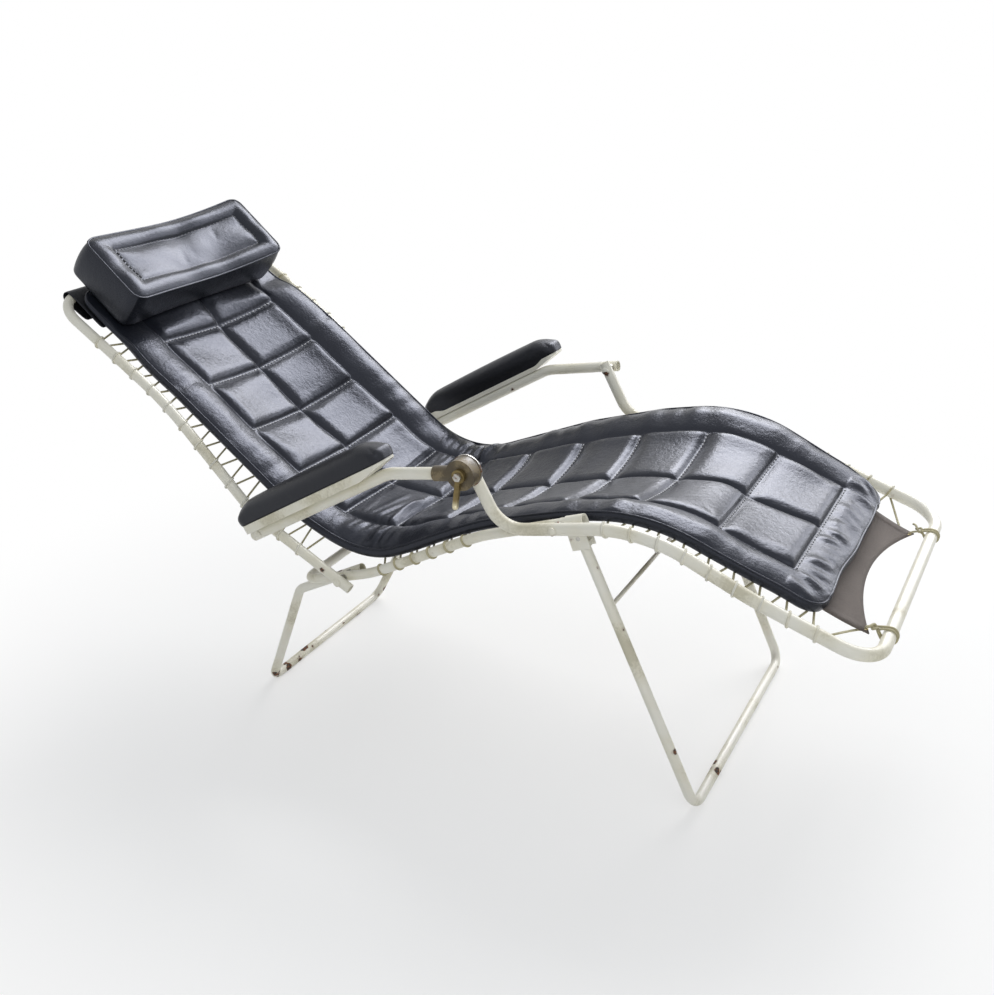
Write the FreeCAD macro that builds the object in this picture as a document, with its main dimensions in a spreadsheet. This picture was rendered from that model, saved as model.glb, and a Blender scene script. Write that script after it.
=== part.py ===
import FreeCAD, Part
import math
import os
from FreeCAD import Placement, Rotation, Vector

# Folding reclining lounger of bent steel tube, with a laced canvas sling and a quilted pad.
# +X runs from the head to the feet, +Z is up, and the sitter's right is -Y. Millimetres.
# The origin is on the ground, in the middle of the outline.

DIMENSIONS = [
    # tubes
    ("tube_wall", 1.5, "wall of every tube"),
    ("back_tube_dia", 20.0, "back frame tube"),
    ("seat_tube_dia", 19.0, "seat frame tube"),
    ("stand_tube_dia", 19.0, "front and rear leg tube"),
    ("leg_tube_dia", 22.0, "leg rest tube"),
    ("arm_tube_dia", 22.0, "armrest tube"),
    # joint hardware
    ("rivet_dia", 8.0, "shank of the pivot rivets"),
    ("rivet_head_dia", 15.0, "domed rivet head"),
    ("rivet_head_height", 4.5, "height of the dome"),
    ("running_gap", 0.05, "radial clearance of a shank in its hole"),
    ("side_gap", 0.3, "clearance between pieces that lie side by side"),
    ("washer_gap", 3.0, "space between neighbouring tubes at a pivot"),
    ("arm_gap", 4.0, "space between leg rest tube and armrest tube"),
    ("washer_dia", 17.0, "outside of the washers"),
    # seat frame, seen from the side: runs start at the back pivot
    ("seat_half_width", 266.0, "middle plane to seat tube axis"),
    ("pivot_back_x", -186.5, "back pivot, from the origin"),
    ("pivot_back_z", 340.0, "back pivot, above the ground"),
    ("seat_rear_run", 108.4, "back pivot to rear cross run"),
    ("seat_low_run", 60.0, "back pivot to the first bend"),
    ("seat_low_slope", 14.4, "degrees"),
    ("seat_main_run", 278.0, "first bend to second bend"),
    ("seat_main_slope", 25.5, "degrees"),
    ("seat_front_run", 163.7, "second bend to leg rest pivot"),
    ("seat_front_slope", 16.5, "degrees"),
    ("seat_nose", 46.0, "tube past the leg rest pivot"),
    ("seat_bend_radius", 400.0, "gentle bends of the side runs"),
    ("seat_corner_radius", 32.0, "corners of the rear cross run"),
    # linkage: back pivot to armrest pivot, and leg rest pivot to armrest pivot, alike
    ("link_length", 176.3, "pivot to pivot"),
    ("link_slope", 31.1, "degrees above the ground, rearwards"),
    # back frame
    ("back_tail", 26.0, "tube past the back pivot"),
    ("back_low_run", 220.0, "back pivot to lower bend"),
    ("back_main_run", 281.0, "lower bend to upper bend"),
    ("back_main_slope", 49.4, "degrees"),
    ("back_top_run", 306.0, "upper bend to top cross run"),
    ("back_top_slope", 37.0, "degrees"),
    ("back_low_radius", 240.0, "lower bend"),
    ("back_high_radius", 600.0, "upper bend"),
    ("back_corner_radius", 60.0, "top corners"),
    # leg rest frame
    ("leg_heel_run", 102.6, "pivot back to the heel bend"),
    ("leg_front_slope", 9.0, "degrees, heel to knee"),
    ("leg_knee_run", 154.0, "pivot to the knee bend"),
    ("leg_shin_run", 203.0, "knee bend to shin bend"),
    ("leg_shin_fall", 27.0, "degrees"),
    ("leg_toe_run", 206.0, "shin bend to front cross run"),
    ("leg_toe_fall", 21.6, "degrees"),
    ("leg_top_tail", 16.0, "upright past the armrest pivot"),
    ("leg_heel_radius", 60.0, "heel bend"),
    ("leg_knee_radius", 277.0, "knee bend"),
    ("leg_shin_radius", 800.0, "shin bend"),
    ("leg_corner_radius", 60.0, "front corners"),
    # armrests
    ("arm_run", 353.0, "rear pivot to the bend"),
    ("arm_slope", 27.2, "degrees"),
    ("arm_rear_tail", 20.0, "tube behind the rear pivot"),
    ("arm_front_tail", 14.0, "tube past the front pivot, left side"),
    ("arm_bend_radius", 80.0, "bend ahead of the armrest"),
    ("armrest_length", 390.0, "padded top"),
    ("armrest_width", 62.0, "padded top"),
    ("arm_base_height", 17.0, "painted base under the pad"),
    ("arm_base_nose", 60.0, "slanted front underside of the base"),
    ("arm_base_round", 20.0, "corner radius of the base, in plan"),
    ("arm_pad_height", 34.0, "crown above the base"),
    # friction lock on the right armrest
    ("lock_disc_dia", 54.0, "moulded disc"),
    ("lock_disc_thickness", 24.0, "moulded disc"),
    ("lock_plate_dia", 57.0, "two metal friction plates"),
    ("lock_neck_dia", 27.0, "neck that takes the armrest tube"),
    ("lock_neck_run", 56.0, "disc centre to the mouth of the neck"),
    ("lock_socket_depth", 22.0, "armrest tube inside the neck"),
    ("lock_bolt_dia", 8.0, "clamping bolt"),
    ("lever_length", 58.0, "bolt to lever tip"),
    ("lever_width", 9.0, "lever arm"),
    ("lever_thickness", 6.0, "lever arm"),
    ("lever_hub_dia", 24.0, "eye of the lever"),
    ("lever_lean", 12.0, "degrees, tip rearwards of straight down"),
    # legs
    ("rear_tail_front", 26.0, "rear leg tail past the pivot"),
    ("rear_tail_run", 155.0, "pivot to the bend"),
    ("rear_foot_reach", 291.0, "foot bar behind the back pivot"),
    ("rear_foot_half", 205.0, "half width at the foot corners"),
    ("rear_bend_radius", 34.0, "bend from tail to upright"),
    ("front_foot_reach", 194.6, "foot bar ahead of the bracket pivot"),
    ("stand_top", 11.0, "front leg tube above its pivot"),
    ("foot_corner_radius", 30.0, "foot corners"),
    ("stretcher_drop", 133.0, "bracket pivot to the rod, along the leg"),
    ("stretcher_dia", 8.0, "rod between the front legs"),
    ("bracket_run", 30.0, "leg rest pivot to bracket pivot, along the seat tube"),
    ("bracket_drop", 27.0, "seat tube axis to bracket pivot"),
    ("bracket_length", 34.0, "folded saddle, along the seat tube"),
    ("bracket_sheet", 2.0, "sheet thickness"),
    ("bracket_lip", 20.0, "cheek below its pivot"),
    ("bracket_fit", 0.2, "clearance inside the saddle"),
    ("bracket_stop", 8.0, "height of the web that stops the leg"),
    ("tail_rest_gap", 0.8, "rear cross run above the rear leg's tails"),
    # sling and lacing
    ("sling_half_width", 215.0, "canvas"),
    ("sling_thickness", 2.0, "canvas"),
    ("sling_sag", 44.0, "middle below the edges, where it is deepest"),
    ("sling_front_half", 195.0, "front corners"),
    ("sling_front_dip", 28.0, "hollow of the front edge"),
    ("sling_front_gap", 34.0, "front edge corners behind the front cross run"),
    ("sling_high_radius", 500.0, "bend of the sling at the shoulders"),
    ("sling_fold_radius", 220.0, "bend of the sling over the back pivot"),
    ("sling_seat_radius", 400.0, "bend of the sling behind the knees"),
    ("sling_fold_back", 18.5, "lowest point of the sling, behind the back pivot"),
    ("sling_fold_rise", 24.7, "lowest point of the sling, above the back pivot"),
    ("sling_seat_lift", 6.0, "sling above the seat tube's second bend"),
    ("hinge_room_depth", 200.0, "room for the hinges, from the pivot up or down"),
    ("hinge_room_spare", 1.5, "degrees, room beyond the range of the recline"),
    ("lap_radius", 66.0, "seat sling and pad run on under the back, round the back pivot"),
    ("lap_room", 1.5, "clearance between that lap and the back"),
    ("lap_reach", 70.0, "how far the lap runs on behind the fold"),
    ("lap_inset", 3.0, "sides of the sling's lap, inside the sling's edge"),
    ("lap_pad_half", 200.0, "half width of the pad's lap"),
    ("cord_dia", 4.0, "elastic lacing cord"),
    ("cord_eye_radius", 5.0, "turn of the cord at the canvas edge"),
    ("back_lace_start", 128.0, "first wrap, from the top cross run"),
    ("back_lace_pitch", 48.0, "wraps along the back tube"),
    ("back_lace_count", 13.0, "wraps on each side"),
    ("seat_lace_start", 92.0, "first wrap, from the back pivot"),
    ("seat_lace_pitch", 42.0, "wraps along the seat tube"),
    ("seat_lace_count", 6.0, "wraps on each side"),
    ("leg_lace_start", 92.0, "first wrap, from the leg rest pivot"),
    ("leg_lace_pitch", 46.0, "wraps along the leg rest tube"),
    ("leg_lace_count", 8.0, "wraps on each side"),
    ("tie_half", 188.0, "corner ties, from the middle plane"),
    # quilted pad
    ("pad_half_width", 238.0, "pad"),
    ("pad_edge_rise", 9.0, "pad underside at its edge, above the sling edge"),
    ("pad_cord_lift", 2.4, "pad edge lifted by the lacing cords"),
    ("pad_side_height", 20.0, "stitched side wall"),
    ("pad_crown", 30.0, "middle of a quilted square"),
    ("pad_seam", 19.0, "pad left at a stitched seam"),
    ("pad_seam_half", 172.0, "outer seams, from the middle plane"),
    ("pad_row_pitch", 130.0, "cross seams along the back and the seat"),
    ("pad_leg_pitch", 137.5, "cross seams along the leg rest"),
    ("pad_front_border", 69.0, "last cross seam to the front edge"),
    ("pad_bulge", 4.0, "swell of the side wall"),
    ("pad_corner_radius", 24.0, "free corners of the pad, in plan"),
    ("pad_first_seam", 36.0, "top of the sling to the first cross seam"),
    ("pad_front_gap", 62.0, "pad behind the sling's front corners"),
    ("pad_pressed", 0.62, "share of its thickness the pad keeps under the pillow"),
    ("recline_up", 25.0, "degrees, range towards upright"),
    ("recline_down", 20.0, "degrees, range towards lying"),
    # hood and pillow
    ("hood_half_width", 258.0, "hood over the top of the frame"),
    ("hood_sheet", 2.5, "hood"),
    ("hood_depth", 100.0, "hood, along the frame"),
    ("hood_crest", 18.0, "flat part of the hood past the tube's axis"),
    ("hood_hem", 1.8, "hem of the hood above the frame's plane, inside"),
    ("hood_back_depth", 60.0, "hood behind the frame"),
    ("pillow_half_width", 214.0, "pillow"),
    ("pillow_depth", 166.0, "pillow, along the back"),
    ("pillow_end_height", 78.0, "pillow at its ends"),
    ("pillow_mid_height", 64.0, "pillow in the middle"),
    ("pillow_tilt", 7.0, "degrees against the frame"),
    ("pillow_overhang", 38.0, "pillow past the top cross run"),
    ("pillow_rest", 35.1, "underside of the pillow above the frame's plane, in the middle"),
]

doc = FreeCAD.newDocument("Lounger")
sheet = doc.addObject("Spreadsheet::Sheet", "Dims")
for row, (alias, value, note) in enumerate(DIMENSIONS, start=1):
    sheet.set(f"A{row}", note)
    sheet.set(f"B{row}", str(value))
    sheet.setAlias(f"B{row}", alias)
doc.recompute()

NODES = []                       # every finished sub-part, in the order it is made
SIDES = (("right", -1), ("left", 1))
Y_AXIS = Vector(0, 1, 0)


def dim(alias):
    """The present value of one dimension."""
    return float(sheet.get(alias))


def node(obj, label):
    """Name a finished sub-part."""
    obj.Label = label
    NODES.append(obj)
    return obj


def polar(start, run, slope):
    """The point (x, z) one run away from start, at a slope in degrees above +X."""
    angle = math.radians(slope)
    return (start[0] + run * math.cos(angle), start[1] + run * math.sin(angle))


def at_y(point, y):
    return Vector(point[0], y, point[1])


def slope_of(start, end):
    """Slope in degrees of the line from start to end, both (x, z)."""
    return math.degrees(math.atan2(end[1] - start[1], end[0] - start[0]))


def along_y(point, y):
    """A placement at (x, z) whose own Z axis points along +Y."""
    return Placement(at_y(point, y), Rotation(Vector(0, 0, 1), Y_AXIS))


# side view layout: pivots and bends

back_r, seat_r = dim("back_tube_dia") / 2, dim("seat_tube_dia") / 2
stand_r, leg_r, arm_r = dim("stand_tube_dia") / 2, dim("leg_tube_dia") / 2, dim("arm_tube_dia") / 2
gap = dim("side_gap")

pivot_back = (dim("pivot_back_x"), dim("pivot_back_z"))
seat_rear = polar(pivot_back, dim("seat_rear_run"), 180 + dim("seat_low_slope"))
seat_bend_1 = polar(pivot_back, dim("seat_low_run"), dim("seat_low_slope"))
seat_bend_2 = polar(seat_bend_1, dim("seat_main_run"), dim("seat_main_slope"))
pivot_leg = polar(seat_bend_2, dim("seat_front_run"), dim("seat_front_slope"))
seat_end = polar(pivot_leg, dim("seat_nose"), dim("seat_front_slope"))

link_heading = 180 - dim("link_slope")
pivot_arm_rear = polar(pivot_back, dim("link_length"), link_heading)
pivot_arm_front = polar(pivot_leg, dim("link_length"), link_heading)

back_end = polar(pivot_back, -dim("back_tail"), link_heading)
back_bend_1 = polar(pivot_back, dim("back_low_run"), link_heading)
back_bend_2 = polar(back_bend_1, dim("back_main_run"), 180 - dim("back_main_slope"))
back_top = polar(back_bend_2, dim("back_top_run"), 180 - dim("back_top_slope"))

leg_heel = polar(pivot_leg, -dim("leg_heel_run"), dim("leg_front_slope"))
leg_top = polar(pivot_arm_front, dim("leg_top_tail"), slope_of(leg_heel, pivot_arm_front))
leg_knee = polar(pivot_leg, dim("leg_knee_run"), dim("leg_front_slope"))
leg_shin = polar(leg_knee, dim("leg_shin_run"), -dim("leg_shin_fall"))
leg_front = polar(leg_shin, dim("leg_toe_run"), -dim("leg_toe_fall"))

arm_end = polar(pivot_arm_rear, -dim("arm_rear_tail"), dim("arm_slope"))
arm_bend = polar(pivot_arm_rear, dim("arm_run"), dim("arm_slope"))
arm_nose_slope = slope_of(arm_bend, pivot_arm_front)

# the rear cross run of the seat rests on the rear leg's tails
tail_slope = dim("seat_low_slope") + math.degrees(
    math.asin((seat_r + stand_r + dim("tail_rest_gap")) / dim("seat_rear_run")))
rear_tail_end = polar(pivot_back, dim("rear_tail_front"), tail_slope)
rear_bend = polar(pivot_back, -dim("rear_tail_run"), tail_slope)
rear_foot = (pivot_back[0] - dim("rear_foot_reach"), stand_r)

bracket_mid = polar(pivot_leg, dim("bracket_run"), dim("seat_front_slope"))
pivot_stand = polar(bracket_mid, dim("bracket_drop"), dim("seat_front_slope") - 90)
front_foot = (pivot_stand[0] + dim("front_foot_reach"), stand_r)
stand_slope = slope_of(pivot_stand, front_foot)
stand_end = polar(pivot_stand, -dim("stand_top"), stand_slope)
stretcher = polar(pivot_stand, dim("stretcher_drop"), stand_slope)

# planes of the tubes, from the middle outwards
seat_y = dim("seat_half_width")
rear_y = seat_y - seat_r - dim("washer_gap") - stand_r
leg_y = seat_y + seat_r + dim("washer_gap") + leg_r
back_y = seat_y + seat_r + dim("washer_gap") + back_r
arm_y = leg_y + leg_r + dim("arm_gap") + arm_r


# bent tubes

def rounded_path(points, radii):
    """A wire of straight runs joined by tangent arcs; radii belong to the inner points."""
    edges, start = [], points[0]
    for before, corner, after, radius in zip(points, points[1:], points[2:], radii):
        back = (before - corner).normalize()
        ahead = (after - corner).normalize()
        half_turn = (math.pi - back.getAngle(ahead)) / 2
        reach = radius * math.tan(half_turn)
        first, last = corner + back * reach, corner + ahead * reach
        inward = (back + ahead).normalize()
        middle = corner + inward * (radius / math.cos(half_turn) - radius)
        if first.distanceToPoint(start) > 1e-6:
            edges.append(Part.LineSegment(start, first).toShape())
        edges.append(Part.Arc(first, middle, last).toShape())
        start = last
    edges.append(Part.LineSegment(start, points[-1]).toShape())
    return Part.Wire(edges)


def swept(name, path, radius):
    """A solid rod of the given radius (an expression) along a path object."""
    first = path.Shape.Edges[0]
    start = first.valueAt(first.FirstParameter)
    tangent = first.tangentAt(first.FirstParameter)
    ring = doc.addObject("Part::Circle", name + "_ring")
    ring.setExpression("Radius", radius)
    ring.Placement = Placement(start, Rotation(Vector(0, 0, 1), tangent))
    rod = doc.addObject("Part::Sweep", name + "_rod")
    rod.Sections = [ring]
    rod.Spine = (path, [f"Edge{i + 1}" for i in range(len(path.Shape.Edges))])
    rod.Solid = True
    rod.Frenet = False
    return rod


def path_object(name, wire):
    path = doc.addObject("Part::Feature", name + "_path")
    path.Shape = wire
    return path


def drill(name, point, y_from, y_to, diameter):
    """A cutter along Y through one pivot; diameter is an expression."""
    hole = doc.addObject("Part::Cylinder", name)
    hole.setExpression("Radius", f"({diameter}) / 2 + Dims.running_gap")
    hole.Height = y_to - y_from
    hole.Placement = along_y(point, y_from)
    return hole


def bent_tube(label, points, radii, dia_alias, holes):
    """A hollow tube with drilled pivot holes."""
    path = path_object(label, rounded_path(points, radii))
    tube = doc.addObject("Part::Cut", label + "_bore")
    tube.Base = swept(label + "_outer", path, f"Dims.{dia_alias} / 2")
    tube.Tool = swept(label + "_inner", path, f"Dims.{dia_alias} / 2 - Dims.tube_wall")
    for number, hole in enumerate(holes):
        cut = doc.addObject("Part::Cut", f"{label}_hole_{number}")
        cut.Base, cut.Tool = tube, hole
        tube = cut
    return node(tube, label)


def pivot_holes(name, point, plane_y, tube_r, diameter="Dims.rivet_dia", sides=SIDES):
    """Cutters through the tube on the named sides."""
    reach = tube_r + gap
    return [drill(f"{name}_{side}", point, sign * plane_y - reach, sign * plane_y + reach, diameter)
            for side, sign in sides]


def u_frame(side_points, plane_y):
    """Side points mirrored to the other side, joined by a cross run at the last point."""
    right = [at_y(p, -plane_y) for p in side_points]
    left = [at_y(p, plane_y) for p in reversed(side_points)]
    return right + left


seat_points = [seat_end, seat_bend_2, seat_bend_1, seat_rear]
seat_radii = [dim("seat_bend_radius")] * 2 + [dim("seat_corner_radius")]
bent_tube("seat_tube", u_frame(seat_points, seat_y), seat_radii + seat_radii[::-1], "seat_tube_dia",
          pivot_holes("seat_hole_back", pivot_back, seat_y, seat_r)
          + pivot_holes("seat_hole_leg", pivot_leg, seat_y, seat_r))

back_points = [back_end, back_bend_1, back_bend_2, back_top]
back_radii = [dim("back_low_radius"), dim("back_high_radius"), dim("back_corner_radius")]
bent_tube("back_tube", u_frame(back_points, back_y), back_radii + back_radii[::-1], "back_tube_dia",
          pivot_holes("back_hole_seat", pivot_back, back_y, back_r)
          + pivot_holes("back_hole_arm", pivot_arm_rear, back_y, back_r))

leg_points = [leg_top, leg_heel, leg_knee, leg_shin, leg_front]
leg_radii = [dim("leg_heel_radius"), dim("leg_knee_radius"), dim("leg_shin_radius"),
             dim("leg_corner_radius")]
bent_tube("leg_tube", u_frame(leg_points, leg_y), leg_radii + leg_radii[::-1], "leg_tube_dia",
          pivot_holes("leg_hole_seat", pivot_leg, leg_y, leg_r)
          + pivot_holes("leg_hole_arm_right", pivot_arm_front, leg_y, leg_r, "Dims.lock_bolt_dia",
                        SIDES[:1])
          + pivot_holes("leg_hole_arm_left", pivot_arm_front, leg_y, leg_r, sides=SIDES[1:]))

rear_points = ([at_y(p, -rear_y) for p in (rear_tail_end, rear_bend)]
               + [at_y(rear_foot, -dim("rear_foot_half")), at_y(rear_foot, dim("rear_foot_half"))]
               + [at_y(p, rear_y) for p in (rear_bend, rear_tail_end)])
rear_radii = [dim("rear_bend_radius"), dim("foot_corner_radius")]
bent_tube("rear_leg_tube", rear_points, rear_radii + rear_radii[::-1], "stand_tube_dia",
          pivot_holes("rear_hole", pivot_back, rear_y, stand_r))

bent_tube("front_leg_tube", u_frame([stand_end, front_foot], seat_y),
          [dim("foot_corner_radius")] * 2, "stand_tube_dia",
          pivot_holes("stand_hole", pivot_stand, seat_y, stand_r)
          + pivot_holes("stand_hole_rod", stretcher, seat_y, stand_r, "Dims.stretcher_dia"))

rod = doc.addObject("Part::Cylinder", "stretcher")
rod.setExpression("Radius", "Dims.stretcher_dia / 2")
rod.Height = 2 * (seat_y + stand_r)
rod.Placement = along_y(stretcher, -seat_y - stand_r)
node(rod, "stretcher_rod")

for side, sign in SIDES:
    if side == "right":
        mouth = polar(pivot_arm_front, -dim("lock_neck_run"), arm_nose_slope)
        arm_nose = polar(mouth, dim("lock_socket_depth"), arm_nose_slope)
        arm_holes = []
    else:
        arm_nose = polar(pivot_arm_front, dim("arm_front_tail"), arm_nose_slope)
        arm_holes = pivot_holes("arm_hole_front", pivot_arm_front, arm_y, arm_r, sides=SIDES[1:])
    bent_tube(f"arm_tube_{side}", [at_y(p, sign * arm_y) for p in (arm_end, arm_bend, arm_nose)],
              [dim("arm_bend_radius")], "arm_tube_dia",
              arm_holes + pivot_holes(f"arm_hole_rear_{side}", pivot_arm_rear, arm_y, arm_r,
                                      sides=[(side, sign)]))


# rivets and washers

def rivet(label, point, y_inner, y_outer, sign):
    """A shank from the inner to the outer face of a stack, with a dome on each end."""
    body = doc.addObject("PartDesign::Body", label)
    sketch = body.newObject("Sketcher::SketchObject", label + "_profile")
    plane = [f for f in body.Origin.OriginFeatures if f.Role == "XZ_Plane"][0]
    sketch.AttachmentSupport = [(plane, "")]
    sketch.MapMode = "FlatFace"
    half = (y_outer - y_inner) / 2 + gap
    shank, head, rise = dim("rivet_dia") / 2, dim("rivet_head_dia") / 2, dim("rivet_head_height")
    # rim of the dome stands a quarter of the head's height
    rim = rise / 4
    corners = [(0, -half - rise), (head, -half - rim), (head, -half), (shank, -half),
               (shank, half), (head, half), (head, half + rim), (0, half + rise)]
    points = [Vector(x, y, 0) for x, y in corners]

    def dome(edge, top):
        """Spherical arc from the rim to the top of a head."""
        drop = rise - rim
        radius = (head ** 2 + drop ** 2) / (2 * drop)
        centre_y = top.y - math.copysign(radius, top.y)
        middle_angle = math.atan2(abs(edge.y - centre_y), head)
        middle_angle = (middle_angle + math.pi / 2) / 2
        middle = Vector(radius * math.cos(middle_angle),
                        centre_y + math.copysign(radius * math.sin(middle_angle), top.y), 0)
        return Part.Arc(edge, middle, top)

    shapes = [dome(points[1], points[0])]
    shapes += [Part.LineSegment(a, b) for a, b in zip(points[1:6], points[2:7])]
    shapes += [dome(points[6], points[7]), Part.LineSegment(points[7], points[0])]
    for shape in shapes:
        sketch.addGeometry(shape, False)
    turn = body.newObject("PartDesign::Revolution", label + "_turn")
    turn.Profile = sketch
    turn.ReferenceAxis = (sketch, ["V_Axis"])
    turn.Angle = 360
    body.Placement = along_y(point, sign * (y_inner + y_outer) / 2)
    return node(body, label)


def washer(label, point, y_inner, y_outer, sign, dia="Dims.washer_dia", bore="Dims.rivet_dia"):
    """A flat ring that fills a gap between two tubes, less the side clearance."""
    disc = doc.addObject("Part::Cylinder", label + "_disc")
    disc.setExpression("Radius", f"{dia} / 2")
    disc.Height = y_outer - y_inner - 2 * gap
    start = min(sign * y_inner, sign * y_outer) + gap
    disc.Placement = along_y(point, start)
    ring = doc.addObject("Part::Cut", label)
    ring.Base = disc
    ring.Tool = drill(label + "_eye", point, start - gap, start + disc.Height.Value + gap, bore)
    return node(ring, label)


for side, sign in SIDES:
    rivet(f"rivet_back_{side}", pivot_back, rear_y - stand_r, back_y + back_r, sign)
    washer(f"washer_back_{side}", pivot_back, seat_y + seat_r, back_y - back_r, sign)
    washer(f"washer_rear_{side}", pivot_back, rear_y + stand_r, seat_y - seat_r, sign)
    rivet(f"rivet_leg_{side}", pivot_leg, seat_y - seat_r, leg_y + leg_r, sign)
    washer(f"washer_leg_{side}", pivot_leg, seat_y + seat_r, leg_y - leg_r, sign)
    rivet(f"rivet_arm_rear_{side}", pivot_arm_rear, back_y - back_r, arm_y + arm_r, sign)
    washer(f"spacer_arm_rear_{side}", pivot_arm_rear, back_y + back_r, arm_y - arm_r, sign)
rivet("rivet_arm_front_left", pivot_arm_front, leg_y - leg_r, arm_y + arm_r, 1)
washer("washer_arm_front_left", pivot_arm_front, leg_y + leg_r, arm_y - arm_r, 1)


# folded saddle brackets that carry the front leg

def bracket(label, sign):
    """Sheet folded over the seat tube, with cheeks down to the leg and a stop ahead of it."""
    inner = seat_r + dim("bracket_fit")
    outer = inner + dim("bracket_sheet")
    drop = dim("bracket_drop") + dim("bracket_lip")
    length = dim("bracket_length")
    frame = Placement(at_y(polar(bracket_mid, -length / 2, dim("seat_front_slope")), sign * seat_y),
                      Rotation(Y_AXIS, -dim("seat_front_slope")))

    body = doc.addObject("PartDesign::Body", label + "_fold")
    sketch = body.newObject("Sketcher::SketchObject", label + "_section")
    plane = [f for f in body.Origin.OriginFeatures if f.Role == "YZ_Plane"][0]
    sketch.AttachmentSupport = [(plane, "")]
    sketch.MapMode = "FlatFace"
    for shape in (Part.Arc(Vector(-outer, 0, 0), Vector(0, outer, 0), Vector(outer, 0, 0)),
                  Part.LineSegment(Vector(outer, 0, 0), Vector(outer, -drop, 0)),
                  Part.LineSegment(Vector(outer, -drop, 0), Vector(inner, -drop, 0)),
                  Part.LineSegment(Vector(inner, -drop, 0), Vector(inner, 0, 0)),
                  Part.Arc(Vector(inner, 0, 0), Vector(0, inner, 0), Vector(-inner, 0, 0)),
                  Part.LineSegment(Vector(-inner, 0, 0), Vector(-inner, -drop, 0)),
                  Part.LineSegment(Vector(-inner, -drop, 0), Vector(-outer, -drop, 0)),
                  Part.LineSegment(Vector(-outer, -drop, 0), Vector(-outer, 0, 0))):
        sketch.addGeometry(shape, False)
    pad = body.newObject("PartDesign::Pad", label + "_sheet")
    pad.Profile = sketch
    pad.setExpression("Length", "Dims.bracket_length")
    body.Placement = frame

    # the stop joins the cheeks below the pivot, just ahead of the leg
    stop = doc.addObject("Part::Box", label + "_stop")
    stop.setExpression("Length", "Dims.bracket_sheet")
    stop.Width = 2 * inner
    stop.setExpression("Height", "Dims.bracket_stop")
    heading = stand_slope + 90
    corner = polar(polar(pivot_stand, dim("bracket_lip") - 0.5, stand_slope), stand_r + gap, heading)
    stop.Placement = Placement(at_y(corner, sign * seat_y - inner), Rotation(Y_AXIS, -heading))
    fused = doc.addObject("Part::Fuse", label + "_blank")
    fused.Base, fused.Tool = body, stop
    cut = doc.addObject("Part::Cut", label)
    cut.Base = fused
    cut.Tool = drill(label + "_eye", pivot_stand, sign * seat_y - outer - 1, sign * seat_y + outer + 1,
                     "Dims.rivet_dia")
    return node(cut, label)


for side, sign in SIDES:
    bracket(f"front_bracket_{side}", sign)
cheek = seat_r + dim("bracket_fit") + dim("bracket_sheet")


def pin(label, point, y_middle, half, diameter):
    """A plain headless pin, its ends riveted flush."""
    shank = doc.addObject("Part::Cylinder", label)
    shank.setExpression("Radius", f"{diameter} / 2")
    shank.Height = 2 * half
    shank.Placement = along_y(point, y_middle - half)
    return node(shank, label)


for side, sign in SIDES:
    pin(f"pin_front_leg_{side}", pivot_stand, sign * seat_y, cheek, "Dims.rivet_dia")


# armrests: painted base and padded top, square to the straight run of the tube

def arm_frame(sign, u, v):
    """Placement at distance u along the armrest and v above the tube's axis, X along the tube."""
    slope = dim("arm_slope")
    origin = polar(polar(pivot_arm_rear, u, slope), v, slope + 90)
    inner_edge = sign * (arm_y - arm_r)
    return Placement(at_y(origin, inner_edge + sign * dim("armrest_width") / 2),
                     Rotation(Y_AXIS, -slope))


def arm_base(label, sign):
    """Painted channel: rounded in plan, its front underside cut on a slant."""
    body = doc.addObject("PartDesign::Body", label)
    sketch = body.newObject("Sketcher::SketchObject", label + "_plan")
    plane = [f for f in body.Origin.OriginFeatures if f.Role == "XY_Plane"][0]
    sketch.AttachmentSupport = [(plane, "")]
    sketch.MapMode = "FlatFace"
    length, half = dim("armrest_length") - 8, dim("armrest_width") / 2 - 2
    for start, end in (((0, -half), (length, -half)), ((length, -half), (length, half)),
                       ((length, half), (0, half)), ((0, half), (0, -half))):
        sketch.addGeometry(Part.LineSegment(Vector(*start, 0), Vector(*end, 0)), False)
    pad = body.newObject("PartDesign::Pad", label + "_block")
    pad.Profile = sketch
    pad.setExpression("Length", "Dims.arm_base_height - Dims.side_gap")
    doc.recompute()
    upright = [f"Edge{i + 1}" for i, edge in enumerate(pad.Shape.Edges)
               if abs(edge.tangentAt(edge.FirstParameter).z) > 0.9]
    fillet = body.newObject("PartDesign::Fillet", label + "_corners")
    fillet.Base = (pad, upright)
    fillet.setExpression("Radius", "Dims.arm_base_round")
    slant = body.newObject("Sketcher::SketchObject", label + "_slant")
    plane = [f for f in body.Origin.OriginFeatures if f.Role == "XZ_Plane"][0]
    slant.AttachmentSupport = [(plane, "")]
    slant.MapMode = "FlatFace"
    nose, rise = dim("arm_base_nose"), dim("arm_base_height") * 0.75
    triangle = [(length - nose, 0), (length + 1, 0), (length + 1, rise)]
    for start, end in zip(triangle, triangle[1:] + triangle[:1]):
        slant.addGeometry(Part.LineSegment(Vector(*start, 0), Vector(*end, 0)), False)
    pocket = body.newObject("PartDesign::Pocket", label + "_nose")
    pocket.Profile = slant
    pocket.Type = "ThroughAll"
    pocket.Midplane = True
    body.Placement = arm_frame(sign, 4, arm_r + gap)
    return node(body, label)


def closed_wire(*shapes):
    return Part.Wire([shape.toShape() for shape in shapes])


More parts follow.
